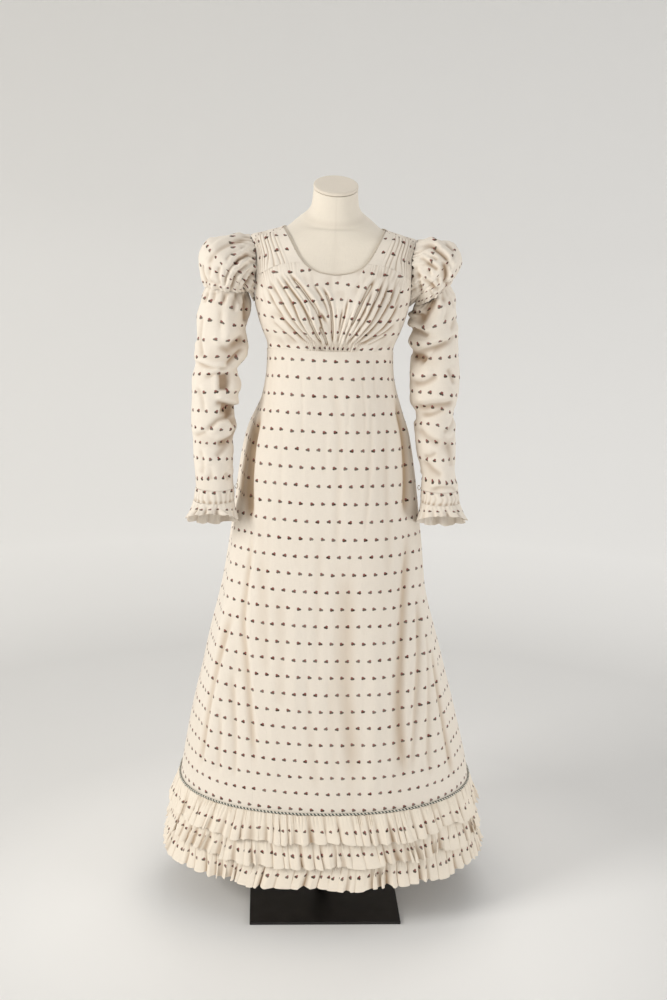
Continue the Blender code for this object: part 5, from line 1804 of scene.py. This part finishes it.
# Folds of the sleeves, over X and Z as seen from the front: the puff's, then the long part's
RIGHT_PUFF_FOLDS = creases(
    (3.8, 3.8, -0.6, (-156, 1333), (-186, 1329), (-210, 1319), (-228, 1303), (-238, 1282)),
    (2.4, 5.2, 0.6, (-147, 1296), (-168, 1285), (-184, 1270), (-190, 1254), (-196, 1240)),
    (2.2, 4.2, 0.6, (-150, 1308), (-176, 1298), (-194, 1283), (-202, 1264), (-204, 1246)),
    (2.6, 5.8, 0.6, (-144, 1279), (-160, 1263), (-173, 1247)),
    (2.0, 3.4, 0.6, (-152, 1288), (-168, 1272), (-180, 1252)),
    (3.0, 3.4, 0.6, (-212, 1290), (-216, 1270), (-211, 1248)),
    (3.0, 3.2, 0.5, (-231, 1290), (-233, 1266), (-224, 1250)),
    (2.4, 3.6, 0.6, (-155, 1309), (-178, 1300), (-187, 1284)),
    (3.0, 2.2, 0.6, (-192, 1338), (-216, 1332), (-240, 1310)),
    (2.4, 2.6, 0.6, (-170, 1318), (-192, 1309), (-204, 1294)),
    (2.6, 4.4, 0.4, (-158, 1262), (-166, 1250), (-170, 1241)),
    (2.2, 2.6, 0.6, (-180, 1262), (-183, 1243)),
    (2.4, 2.4, 0.5, (-204, 1272), (-205, 1248)),
    (2.6, 2.6, 0.5, (-247, 1288), (-243, 1268), (-234, 1252)),
    (2.2, 2.2, 0.6, (-162, 1324), (-178, 1316)),
)
RIGHT_SLEEVE_FOLDS = creases(
    (3.0, 3.4, 0.6, (-199, 1240), (-205, 1226), (-212, 1212)),
    (3.0, 3.4, 0.6, (-181, 1240), (-186, 1220), (-189, 1200)),
    (2.4, 2.6, 0.6, (-176, 1240), (-179, 1214)),
    (2.6, 2.6, 0.6, (-222, 1238), (-226, 1220)),
    (2.6, 2.4, 0.6, (-236, 1236), (-242, 1214)),
    (4.6, 5.5, 0.3, (-168, 1242), (-166, 1210), (-165, 1176)),
    (4.4, 2.8, 0.9, (-211, 1216), (-212, 1170), (-209, 1122)),
    (8.0, 6.5, 0.6, (-210, 1126), (-194, 1140), (-168, 1154)),
    (4.0, 6.0, 0.9, (-168, 1133), (-186, 1115), (-203, 1097)),
    (2.6, 3.2, 0.8, (-262, 1105), (-242, 1100), (-223, 1096), (-196, 1096)),
    (3.0, 3.4, 0.8, (-244, 1080), (-224, 1085), (-210, 1088)),
    (7.0, 8.0, 0.4, (-204, 1090), (-202, 1071), (-206, 1054)),
    (3.0, 4.5, -0.7, (-214, 1088), (-213, 1070), (-212, 1054)),
    (4.0, 6.0, 0.8, (-224, 1035), (-203, 1029), (-186, 1017)),
    (7.0, 6.5, 0.3, (-214, 1023), (-202, 1018), (-190, 1010)),
    (4.0, 5.0, 0.4, (-194, 1027), (-191, 1004)),
    (4.0, 5.0, -0.8, (-242, 978), (-227, 990), (-215, 1000), (-199, 1003), (-183, 981)),
    (4.6, 5.0, -0.6, (-183, 981), (-190, 966), (-202, 961), (-220, 956)),
    (2.6, 2.6, 0.7, (-262, 967), (-238, 980)),
    (4.4, 3.0, 0.6, (-194, 958), (-220, 930)),
    (5.0, 2.6, 0.5, (-232, 920), (-228, 888)),
    (4.0, 3.4, 0.5, (-204, 903), (-194, 888)),
    (3.4, 2.6, 0.6, (-244, 1200), (-250, 1150), (-246, 1112)),
    (4.0, 2.4, 0.6, (-258, 1062), (-246, 1040), (-242, 1010)),
    (4.0, 2.4, 0.6, (-250, 948), (-243, 920), (-246, 896)),
)
LEFT_PUFF_FOLDS = creases(
    (2.4, 3.4, 0.6, (158, 1322), (176, 1328), (194, 1323)),
    (2.8, 5.0, 0.7, (174, 1327), (189, 1319), (199, 1311), (206, 1302), (209, 1288)),
    (2.2, 3.0, 0.5, (160, 1313), (174, 1309), (188, 1302)),
    (2.8, 4.6, 0.7, (150, 1309), (164, 1302), (177, 1293), (189, 1285)),
    (3.6, 5.4, 0.6, (194, 1303), (201, 1290), (203, 1276), (199, 1259)),
    (2.0, 2.8, 0.5, (214, 1314), (212, 1298), (210, 1282)),
    (3.0, 4.0, 0.4, (201, 1258), (212, 1263), (221, 1271)),
    (2.8, 4.4, 0.6, (146, 1282), (160, 1270), (175, 1260), (187, 1247)),
    (2.4, 4.2, 0.6, (144, 1300), (151, 1280), (157, 1258), (163, 1238)),
    (2.2, 3.4, 0.6, (138, 1286), (142, 1262), (149, 1236)),
    (2.2, 2.6, 0.6, (186, 1274), (189, 1258), (187, 1244)),
    (2.2, 2.6, 0.6, (170, 1288), (177, 1272)),
    (2.4, 2.8, 0.6, (203, 1333), (219, 1318)),
    (2.2, 2.4, 0.6, (156, 1336), (174, 1344)),
    (2.0, 2.4, 0.6, (174, 1250), (178, 1238)),
)
LEFT_SLEEVE_FOLDS = creases(
    (8.0, 7.5, 0.8, (188, 1240), (173, 1206), (156, 1172)),
    (3.0, 4.0, 0.6, (136, 1207), (152, 1203), (168, 1195)),
    (4.0, 5.0, 0.6, (140, 1172), (158, 1169), (178, 1161)),
    (6.5, 6.5, 0.4, (146, 1118), (160, 1122), (174, 1114)),
    (5.0, 6.0, 0.8, (154, 1132), (175, 1138), (198, 1146), (215, 1155), (228, 1170)),
    (5.0, 5.0, 0.8, (146, 1070), (165, 1073), (178, 1079), (194, 1092)),
    (3.4, 4.0, 0.6, (212, 1104), (220, 1088), (228, 1070)),
    (5.6, 6.4, 0.8, (148, 1032), (169, 1029), (186, 1033), (209, 1035), (232, 1038)),
    (3.4, 4.0, -0.6, (164, 1010), (184, 1014), (200, 1020), (213, 1026)),
    (3.6, 3.6, 0.6, (200, 1238), (206, 1212), (203, 1188)),
    (3.0, 3.0, 0.6, (214, 1238), (222, 1212)),
    (4.0, 3.0, 0.6, (230, 1196), (218, 1172), (200, 1160)),
    (5.0, 3.0, 0.6, (160, 988), (180, 972), (204, 962)),
    (5.0, 2.8, 0.5, (215, 966), (222, 942), (226, 912)),
    (4.0, 2.8, 0.6, (172, 930), (190, 912), (208, 902)),
    (3.4, 2.8, 0.6, (234, 1010), (222, 990), (206, 980)),
    (3.0, 2.6, 0.6, (196, 946), (184, 936), (172, 934)),
    (2.6, 2.8, 0.6, (184, 872), (205, 880), (224, 879), (238, 868)),
)


@dataclass
class Sleeve:
    """One long sleeve: its puff, its bulging length, the drawn wrist, the frill and the tie."""

    side: Side
    bodice: Bodice
    # middle's X, Y and Z, half the width across, half the depth, tilt in degrees
    puff: Table
    length: Table
    puff_folds: tuple[Crease, ...]
    sleeve_folds: tuple[Crease, ...]
    seed: int
    stand: float = 0.0011          # how far the puff and the long part stand off their rings
    wrist_stand: float = 0.0012    # the same for the wrist and the frill
    armhole_inset: float = 0.0026  # how far the puff's first ring lies inside the armhole's edge
    armhole_lift: float = 0.0024
    cuff_top: float = 0.8687
    cuff_bottom: float = 0.8450
    cuff_swell: float = 0.0022
    frill_bottom: float = 0.8090
    frill_wave: float = 0.0056     # depth of the frill's bends
    frill_half: float = 0.045      # and the half width for which that is meant
    flare: float = 0.0095
    slant: float = 0.44
    drop: float = 0.0110
    tie_radius: float = 0.0007
    tie_stand: float = 0.0018
    tie_loop: Table = (
        (0.0000, 0.0000, 0.0000), (0.0012, 0.0020, -0.0030), (0.0040, 0.0030, -0.0045),
        (0.0058, 0.0020, 0.0000), (0.0045, 0.0000, 0.0040), (0.0018, -0.0010, 0.0022),
    )
    finish: CottonFinish = CottonFinish(painted_shade_strength=0.82)

    def _ring(self, ring: Array, angle: Array, swell: Array | float = 1.0) -> Array:
        """Points of swept rings, for the wearer's left before it is mirrored.

        Args:
            ring: One row of six sizes, or one for each row of the grid.
            angle: Angles round the ring; 0 is its outer or upper end, a quarter turn its front.
            swell: Share by which the ring is wider there.

        Returns:
            The points.
        """
        ring = np.asarray(ring, float)
        ring = ring[..., None, :] if ring.ndim > 1 else ring
        tilt = np.radians(ring[..., 5])
        y = -ring[..., 4] * np.sin(angle) * swell
        reach = ring[..., 3] * np.cos(angle) * swell
        x, z = ring[..., 0] + np.sin(tilt) * reach, ring[..., 2] + np.cos(tilt) * reach
        return np.stack(np.broadcast_arrays(x, ring[..., 1] + y, z), -1)

    def _placed(self, grid: Array) -> Array:
        """A grid on its own side, with its columns to the right."""
        return grid * MIRROR if self.side is Side.RIGHT else grid[:, ::-1]

    def _flip(self, values: Array) -> Array:
        """Values by row and column in the order of the placed grid."""
        return values if self.side is Side.RIGHT else values[:, ::-1]

    def _turned(self, angle: Array, along: Array) -> tuple[Array, Array]:
        """Each point's share of the way round and its place along the sleeve."""
        turn, place = np.broadcast_arrays(angle[None] / (2 * pi), along[:, None])
        return self._flip(turn), place

    def _sew(self, shop: Workshop, part: str, cut: Cut, heights: Array, sheet: Sheet,
             finish: CottonFinish = CottonFinish()) -> None:
        """Sews and dresses a part that closes round the arm.

        Args:
            shop: Dresses the piece.
            part: The part's name, without the side.
            cut: Its plain grid, on which the last column comes again as the first.
            heights: How far it stands off that grid.
            sheet: Its flat size.
            finish: Its cotton.
        """
        points = lifted(cut.points, heights, True)
        points[:, -1] = points[:, 0]
        round_cut = Cut(points, cut.spots, True, cut.valley)
        shop.cloth(f"{part}_{self.side.word}", round_cut, sheet, finish)

    def _armhole(self, angle: Array) -> Array:
        """The puff's first ring, on the skin just inside the armhole's edge."""
        guide = self.bodice.armhole(np.degrees(angle), -self.armhole_inset)
        point = self.bodice.torso.off_skin(guide, self.armhole_lift)
        if self.side is Side.RIGHT:
            return leaning(point * MIRROR) * MIRROR
        return leaning(point)

    def _puff(self, shop: Workshop) -> None:
        """The full puff, gathered into the armhole and into the sleeve."""
        columns, rows, seed = 230, 84, self.seed
        angle = np.linspace(0, 2 * pi, columns + 1)
        down = np.linspace(0, 1, rows + 1)[::-1]
        rings = [self._armhole(angle)] + [self._ring(np.array(row), angle) for row in self.puff]
        last = len(rings) - 1
        grid = hermite(np.arange(last + 1), np.array(rings).reshape(last + 1, -1), down * last)
        grid = self._placed(grid.reshape(rows + 1, columns + 1, 3))
        turn, fall = self._turned(angle, down)
        comb = wave(26 * turn + 0.6 * noise(turn * 18, fall * 4, seed, 18))
        mid = wave(9 * turn + 0.5 * noise(turn * 9, fall * 3, seed + 1, 9))
        head, foot = smoothstep(0.34, 0.02, fall), smoothstep(0.62, 0.97, fall)
        folds = 0.0013 * comb * (head + 0.9 * foot)
        folds = folds + 0.0016 * mid * (0.35 + 0.65 * np.maximum(head, foot))
        folds = folds + 0.0016 * noise(turn * 7, fall * 4, seed + 2, 7)
        axis = self.side.value * self.puff[1][0]
        clear = 0.15 + 0.85 * smoothstep(0.02, 0.16, fall)
        folds = 0.85 * folds + 1.2 * creased_round(self.puff_folds, grid, axis) * clear
        pulled = 0.009 * noise(turn * 4, fall * 3, seed + 22, 4)
        slid = 0.007 * noise(turn * 5, fall * 3, seed + 23, 5)
        spots = np.stack((turn * 0.46 + slid, (1 - fall) * 0.155 + pulled), -1)
        self._sew(shop, "puff", Cut(grid, spots, True, valleys(folds, 0.0056)), folds + self.stand,
                  Sheet((0.46, 0.150), "gathered", area=0.046), self.finish)

    def _arm(self, shop: Workshop) -> None:
        """The long sleeve below the puff."""
        columns, rows, seed = 88, 160, self.seed
        angle = np.linspace(0, 2 * pi, columns + 1)
        table = np.array(self.length)[::-1]
        top = table[-1, 2]
        z = np.linspace(table[0, 2], top, rows + 1)
        rings = hermite(table[:, 2], table, z)
        grid = self._placed(self._ring(rings, angle[None]))
        turn, height = self._turned(angle, z)
        head = smoothstep(top - 0.045, top, height)
        comb = wave(20 * turn + 0.5 * noise(turn * 12, height * 20, seed + 5, 12))
        folds = 0.0010 * comb * head + 0.0014 * noise(turn * 6, height * 26, seed + 6, 6)
        axis = self.side.value * self.length[5][0]
        folds = folds + 1.25 * creased_round(self.sleeve_folds, grid, axis)
        pulled = 0.011 * noise(turn * 3, height * 14, seed + 20, 3)
        slid = 0.008 * noise(turn * 3, height * 18, seed + 21, 3)
        spots = np.stack((turn * 0.285 + slid, lengths_up(grid) + pulled + 0.4 * folds), -1)
        cut = Cut(grid, spots, True, valleys(folds, 0.0066))
        self._sew(shop, "sleeve", cut, folds + self.stand,
                  Sheet((0.30, 0.375), "hung", (f"puff_{self.side.word}",), 0.098), self.finish)

    def _wrist(self, z: Array, grow: Array, along: Array, out: float) -> Array:
        """Rings of the wrist at heights, moved forwards and outwards as they go down."""
        wrist = np.array(self.length[-1])
        forward = self.drop * along
        rings = np.repeat(wrist[None], len(z), 0)
        rings[:, 0] += out * forward
        rings[:, 1] -= forward
        rings[:, 2] = z
        rings[:, 3] += grow
        rings[:, 4] += grow
        return rings

    def _cuff(self, shop: Workshop) -> None:
        """The drawn wrist."""
        columns, rows, lap = 120, 20, 0.0004
        angle = np.linspace(0, 2 * pi, columns + 1)
        down = np.linspace(1, 0, rows + 1)
        z = self.cuff_top - lap + (self.cuff_bottom - self.cuff_top + lap) * down
        rings = self._wrist(z, self.cuff_swell * down, 0.35 * down, 0.3)
        grid = self._placed(self._ring(rings, angle[None]))
        turn, fall = self._turned(angle, down)
        comb = wave(22 * turn + 0.4 * noise(turn * 16, fall * 2, self.seed + 8, 16))
        folds = 0.0009 * comb * (0.35 + 0.65 * fall) - 0.0010 * bell(fall - 0.9, 0.08)
        spots = np.stack((turn * 0.235, (1 - fall) * 0.024), -1)
        self._sew(shop, "cuff_band", Cut(grid, spots, True, valleys(folds, 0.0018)),
                  folds + self.wrist_stand,
                  Sheet((0.24, 0.025), "gathered", (f"sleeve_{self.side.word}",)))

    def _frill(self, shop: Workshop) -> None:
        """The frill, its front edge higher than its back one."""
        columns, rows, seed = 260, 26, self.seed
        angle = np.linspace(0, 2 * pi, columns + 1)
        down = np.linspace(1, 0, rows + 1)
        low = down[:, None]
        z = self.cuff_bottom - 0.0009 + (self.frill_bottom - self.cuff_bottom) * down
        rings = self._wrist(z, self.cuff_swell + self.flare * down ** 1.2, 0.35 + 0.65 * down, 0.45)
        turn = angle / (2 * pi)
        bend = 9 * turn + 0.45 * noise(turn * 7, 0 * turn, seed + 9, 7)
        size = 0.75 + 0.45 * noise(turn * 9, 0 * turn + 2, seed + 11, 9)
        bends = ((wave(bend) + 0.35 * np.sin(4 * pi * bend + 1.0)) * size)[None]
        deep = self.frill_wave / self.frill_half * low ** 0.9 * bends
        grid = self._ring(rings, angle[None], 1.0 + deep)
        y = grid[..., 1] - rings[:, 1][:, None]
        grid[..., 2] += -self.slant * low * y - 0.0016 * bends * low
        grid = self._placed(grid)
        turn, fall = self._turned(angle, down)
        fine = wave(30 * turn + 0.3 * noise(turn * 20, fall * 2, seed + 10, 20))
        ruffle = wave(17 * turn + 0.7 * noise(turn * 12, fall, seed + 12, 12))
        ruffle = ruffle * (0.6 + 0.5 * noise(turn * 11, fall + 3, seed + 13, 11))
        folds = 0.0006 * fine * smoothstep(0.7, 0.0, fall) + 0.0003 * smoothstep(0.94, 0.97, fall)
        folds = folds + 0.0017 * ruffle * smoothstep(0.10, 0.95, fall)
        # painted shade in the frill's inward bends
        dip = np.clip(-self._flip(bends * low ** 0.9), 0, 1)
        spots = np.stack((turn * 0.34, (1 - fall) * 0.040), -1)
        self._sew(shop, "cuff_frill", Cut(grid, spots, True, dip * 0.5), folds + self.wrist_stand,
                  Sheet((0.34, 0.042), "gathered", (f"cuff_band_{self.side.word}",)))

    def _tie(self, shop: Workshop) -> None:
        """The loop of the thread that draws the wrist."""
        wrist, sign = self.length[-1], self.side.value
        start = np.array((sign * (wrist[0] - wrist[3] - self.tie_stand - self.tie_radius), wrist[1],
                          self.cuff_top + 0.0030))
        last = len(self.tie_loop) - 1
        steps = hermite(np.arange(last + 1), self.tie_loop, np.linspace(0, last, 26))
        path = start + np.stack((-sign * steps[:, 0], -steps[:, 1], steps[:, 2]), -1)
        name = f"cuff_tie_{self.side.word}"
        piece = capped(tube(path, self.tie_radius, 8, False).sew(name + "_thread", 0.0))
        # much darker than the gown's cream: painted shade for the shadow in the tie's loops
        finish = CottonFinish(name + "_cotton", cream=(0.50, 0.42, 0.33, 1.0), printed=False)
        shop.dress(piece, finish, Slot.COTTON, name)

    def build(self, shop: Workshop) -> None:
        """Makes and dresses the sleeve's pieces."""
        self._puff(shop)
        self._arm(shop)
        self._cuff(shop)
        self._frill(shop)
        self._tie(shop)


def right_sleeve(bodice: Bodice) -> Sleeve:
    """The wearer's right sleeve."""
    return Sleeve(
        Side.RIGHT, bodice,
        puff=(
            (0.172, -0.004, 1.2844, 0.0560, 0.0590, 15),
            (0.198, -0.006, 1.2830, 0.0600, 0.0680, 38),
            (0.206, -0.008, 1.2710, 0.0535, 0.0660, 62),
            (0.205, -0.010, 1.2540, 0.0450, 0.0570, 78),
            (0.203, -0.010, 1.2400, 0.0402, 0.0474, 84),
        ),
        length=(
            (0.2030, -0.010, 1.2398, 0.0384, 0.0446, 84),
            (0.2040, -0.010, 1.2150, 0.0460, 0.0485, 87),
            (0.2075, -0.011, 1.1930, 0.0485, 0.0500, 88),
            (0.2120, -0.012, 1.1650, 0.0450, 0.0490, 90),
            (0.2105, -0.013, 1.1450, 0.0465, 0.0495, 90),
            (0.2110, -0.014, 1.1300, 0.0485, 0.0500, 90),
            (0.2165, -0.015, 1.1160, 0.0460, 0.0480, 90),
            (0.2228, -0.016, 1.0960, 0.0370, 0.0440, 90),
            (0.2245, -0.018, 1.0770, 0.0405, 0.0445, 90),
            (0.2215, -0.020, 1.0600, 0.0450, 0.0450, 90),
            (0.2240, -0.024, 1.0380, 0.0425, 0.0435, 90),
            (0.2270, -0.026, 1.0180, 0.0395, 0.0420, 90),
            (0.2245, -0.033, 0.9850, 0.0415, 0.0420, 90),
            (0.2275, -0.040, 0.9540, 0.0355, 0.0395, 90),
            (0.2262, -0.047, 0.9230, 0.0362, 0.0385, 90),
            (0.2248, -0.052, 0.9000, 0.0352, 0.0370, 90),
            (0.2228, -0.058, 0.8690, 0.0352, 0.0355, 90),
        ),
        puff_folds=RIGHT_PUFF_FOLDS,
        sleeve_folds=RIGHT_SLEEVE_FOLDS,
        seed=200,
    )


def left_sleeve(bodice: Bodice) -> Sleeve:
    """The wearer's left sleeve."""
    return Sleeve(
        Side.LEFT, bodice,
        puff=(
            (0.170, -0.004, 1.2825, 0.0560, 0.0580, 15),
            (0.190, -0.006, 1.2810, 0.0560, 0.0660, 35),
            (0.195, -0.008, 1.2660, 0.0520, 0.0640, 52),
            (0.191, -0.010, 1.2490, 0.0420, 0.0540, 57),
            (0.1854, -0.010, 1.2340, 0.0356, 0.0464, 57),
        ),
        length=(
            (0.1858, -0.010, 1.2342, 0.0338, 0.0440, 57),
            (0.1840, -0.010, 1.2130, 0.0440, 0.0470, 68),
            (0.1870, -0.011, 1.2000, 0.0420, 0.0475, 75),
            (0.1855, -0.011, 1.1860, 0.0450, 0.0485, 80),
            (0.1905, -0.012, 1.1700, 0.0415, 0.0490, 85),
            (0.1880, -0.013, 1.1480, 0.0460, 0.0485, 88),
            (0.1938, -0.014, 1.1300, 0.0425, 0.0480, 90),
            (0.1940, -0.015, 1.1080, 0.0445, 0.0480, 90),
            (0.1930, -0.017, 1.0850, 0.0470, 0.0470, 90),
            (0.1940, -0.021, 1.0520, 0.0458, 0.0440, 90),
            (0.1930, -0.024, 1.0300, 0.0425, 0.0425, 90),
            (0.1950, -0.028, 1.0120, 0.0345, 0.0405, 90),
            (0.1955, -0.032, 0.9900, 0.0370, 0.0400, 90),
            (0.1965, -0.036, 0.9720, 0.0380, 0.0400, 90),
            (0.1985, -0.043, 0.9430, 0.0358, 0.0380, 90),
            (0.2015, -0.047, 0.9210, 0.0330, 0.0360, 90),
            (0.2035, -0.052, 0.9000, 0.0308, 0.0350, 90),
            (0.2065, -0.058, 0.8690, 0.0340, 0.0345, 90),
        ),
        puff_folds=LEFT_PUFF_FOLDS,
        sleeve_folds=LEFT_SLEEVE_FOLDS,
        seed=300,
    )


# The studio


@dataclass
class Studio:
    """The pale round sweep, the soft lights and the camera."""

    floor_reach: float = 3.0
    wall_reach: float = 5.6
    wall_height: float = 4.2
    bend_steps: int = 12
    # painted light and shade on the paper, by its way from the middle as a share of the reach
    painted_light_reach: float = 6.0
    painted_light_by_reach: Path = ((0.0, 0.90), (0.07, 0.88), (0.10, 0.83), (0.135, 0.75), (0.19, 0.72),
                   (0.26, 0.70), (0.34, 0.81), (0.47, 0.94), (1.0, 0.98))
    lens: float = 54.0
    sensor: float = 36.0
    clip: tuple[float, float] = (0.05, 60.0)
    eye: Place = (-0.1365, -2.8417, 1.519)
    heading: float = -2.88
    pitch: float = 76.41
    roll: float = 1.19
    room_light: float = 0.535

    def camera(self) -> None:
        """The camera, on the gown's centre line and a little above its waist."""
        data = bpy.data.cameras.new("camera")
        data.lens, data.sensor_width = self.lens, self.sensor
        data.clip_start, data.clip_end = self.clip
        camera = bpy.data.objects.new("camera", data)
        bpy.context.scene.collection.objects.link(camera)
        turn = Matrix()
        for angle, axis in ((self.heading, "Z"), (self.pitch, "X"), (self.roll, "Z")):
            turn = turn @ Matrix.Rotation(radians(angle), 4, axis)
        camera.matrix_world = Matrix.Translation(self.eye) @ turn
        bpy.context.scene.camera = camera

    def _sweep_finish(self) -> Material:
        """Matt paper with painted shade in a broad ring round the object and higher up the wall."""
        made, nodes, shader = new_material("sweep_paper_painted_light", 0.95)
        place = nodes.add("TexCoord").outputs["Object"]
        spot = nodes.add("SeparateXYZ", {0: place}).outputs
        flat = nodes.add("CombineXYZ", {0: spot["X"], 1: spot["Y"]}).outputs[0]
        away = nodes.add("VectorMath", {0: flat}, operation="LENGTH").outputs["Value"]
        ramp = nodes.add("ValToRGB", {0: nodes.sum("DIVIDE", away, self.painted_light_reach)})
        band = ramp.color_ramp
        while len(band.elements) < len(self.painted_light_by_reach):
            band.elements.new(0.5)
        for element, (where, tone) in zip(band.elements, self.painted_light_by_reach):
            element.position = where
            element.color = (tone, tone, tone, 1.0)
        # painted light falloff: the wall darkens upwards
        painted_wall_falloff = nodes.add("MapRange", {0: spot["Z"], 1: 0.9, 2: 2.8, 3: 1.0, 4: 0.83}).outputs[0]
        # painted warmth of the key light, warmest on the left
        side = nodes.add("MapRange", {0: spot["X"], 1: -2.0, 2: 2.0}).outputs[0]
        painted_key_warmth = nodes.blend(side, (1.0, 0.985, 0.955, 1.0), (1.0, 0.995, 0.985, 1.0))
        painted_paper = nodes.blend(1.0, ramp.outputs[0], painted_key_warmth, "MULTIPLY")
        nodes.feed(shader.inputs["Base Color"], nodes.blend(1.0, painted_paper, painted_wall_falloff, "MULTIPLY"))
        return made

    def sweep(self) -> None:
        """The floor that turns up into the wall all round."""
        deselect()
        radius, height = self.wall_reach, self.wall_height
        bend = self.wall_reach - self.floor_reach
        bpy.ops.mesh.primitive_circle_add(vertices=96, radius=radius, fill_type="NGON",
                                          location=(0, 0, height))
        stage = bpy.context.object
        stage.name = stage.data.name = "sweep"
        bpy.ops.object.transform_apply(location=True)
        bpy.ops.object.mode_set(mode="EDIT")
        bpy.ops.mesh.delete(type="ONLY_FACE")
        bpy.ops.mesh.select_all(action="SELECT")
        angles = np.linspace(0, pi / 2, self.bend_steps + 1)[1:]
        curve = [(self.floor_reach + bend * float(np.cos(a)), bend - bend * float(np.sin(a)))
                 for a in angles]
        for new_radius, new_height in ((radius, bend), *curve, (1.2, 0.0), (0.3, 0.0)):
            bpy.ops.mesh.extrude_edges_move(
                TRANSFORM_OT_translate={"value": (0, 0, new_height - height)})
            share = new_radius / radius
            bpy.ops.transform.resize(value=(share, share, 1.0), center_override=(0, 0, new_height))
            radius, height = new_radius, new_height
        bpy.ops.mesh.edge_face_add()
        bpy.ops.mesh.select_all(action="SELECT")
        bpy.ops.mesh.normals_make_consistent(inside=True)
        bpy.ops.object.mode_set(mode="OBJECT")
        bpy.ops.object.shade_smooth_by_angle(angle=SMOOTH_HARD)
        stage.data.materials.append(self._sweep_finish())

    def _light(self, name: str, place: Place, aim: Place, size: tuple[float, float], watts: float,
               colour: tuple[float, float, float]) -> None:
        """One soft rectangular light aimed at a point."""
        data = bpy.data.lights.new(name, "AREA")
        data.shape = "RECTANGLE"
        data.size, data.size_y = size
        data.energy = watts
        data.color = colour
        light = bpy.data.objects.new(name, data)
        bpy.context.scene.collection.objects.link(light)
        light.location = place
        light.rotation_euler = (Vector(aim) - Vector(place)).to_track_quat("-Z", "Y").to_euler()

    def lights(self) -> None:
        """The key light on the left, a weaker one on the right, one behind, and the room's own."""
        self._light("key", (-3.45, -1.75, 2.4), (0.0, 0.0, 0.75), (1.5, 1.5), 92.0,
                    (1.0, 0.982, 0.945))
        self._light("fill", (2.9, -1.7, 0.9), (0.0, 0.0, 0.5), (1.6, 1.6), 28.0, (0.97, 0.985, 1.0))
        self._light("back", (0.6, 2.6, 3.4), (0.0, 0.0, 0.9), (2.4, 1.2), 30.0, (1.0, 0.98, 0.95))
        world = bpy.data.worlds.new("room")
        world.use_nodes = True
        sky = world.node_tree.nodes["Background"]
        sky.inputs[0].default_value = (1.0, 0.995, 0.985, 1.0)
        sky.inputs[1].default_value = self.room_light
        bpy.context.scene.world = world

    def build(self) -> None:
        """Sets up everything that isn't the object."""
        self.camera()
        self.sweep()
        self.lights()
        bpy.context.scene.view_settings.view_transform = "Standard"
        LOG.info("studio ready")


def main() -> None:
    """Builds every sub-assembly in order."""
    logging.basicConfig(level=logging.INFO, format="%(name)s %(message)s")
    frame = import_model()
    shop = Workshop()
    torso, skirt_form = Torso(), SkirtForm()
    bodice = Bodice(torso)
    Studio().build()
    Stand(frame["nodes"]).build(shop)
    Form(torso).build(shop)
    bodice.build(shop)
    Skirt(torso, skirt_form).build(shop)
    Trim(skirt_form).build(shop)
    right_sleeve(bodice).build(shop)
    left_sleeve(bodice).build(shop)


if __name__ == "__main__":
    main()
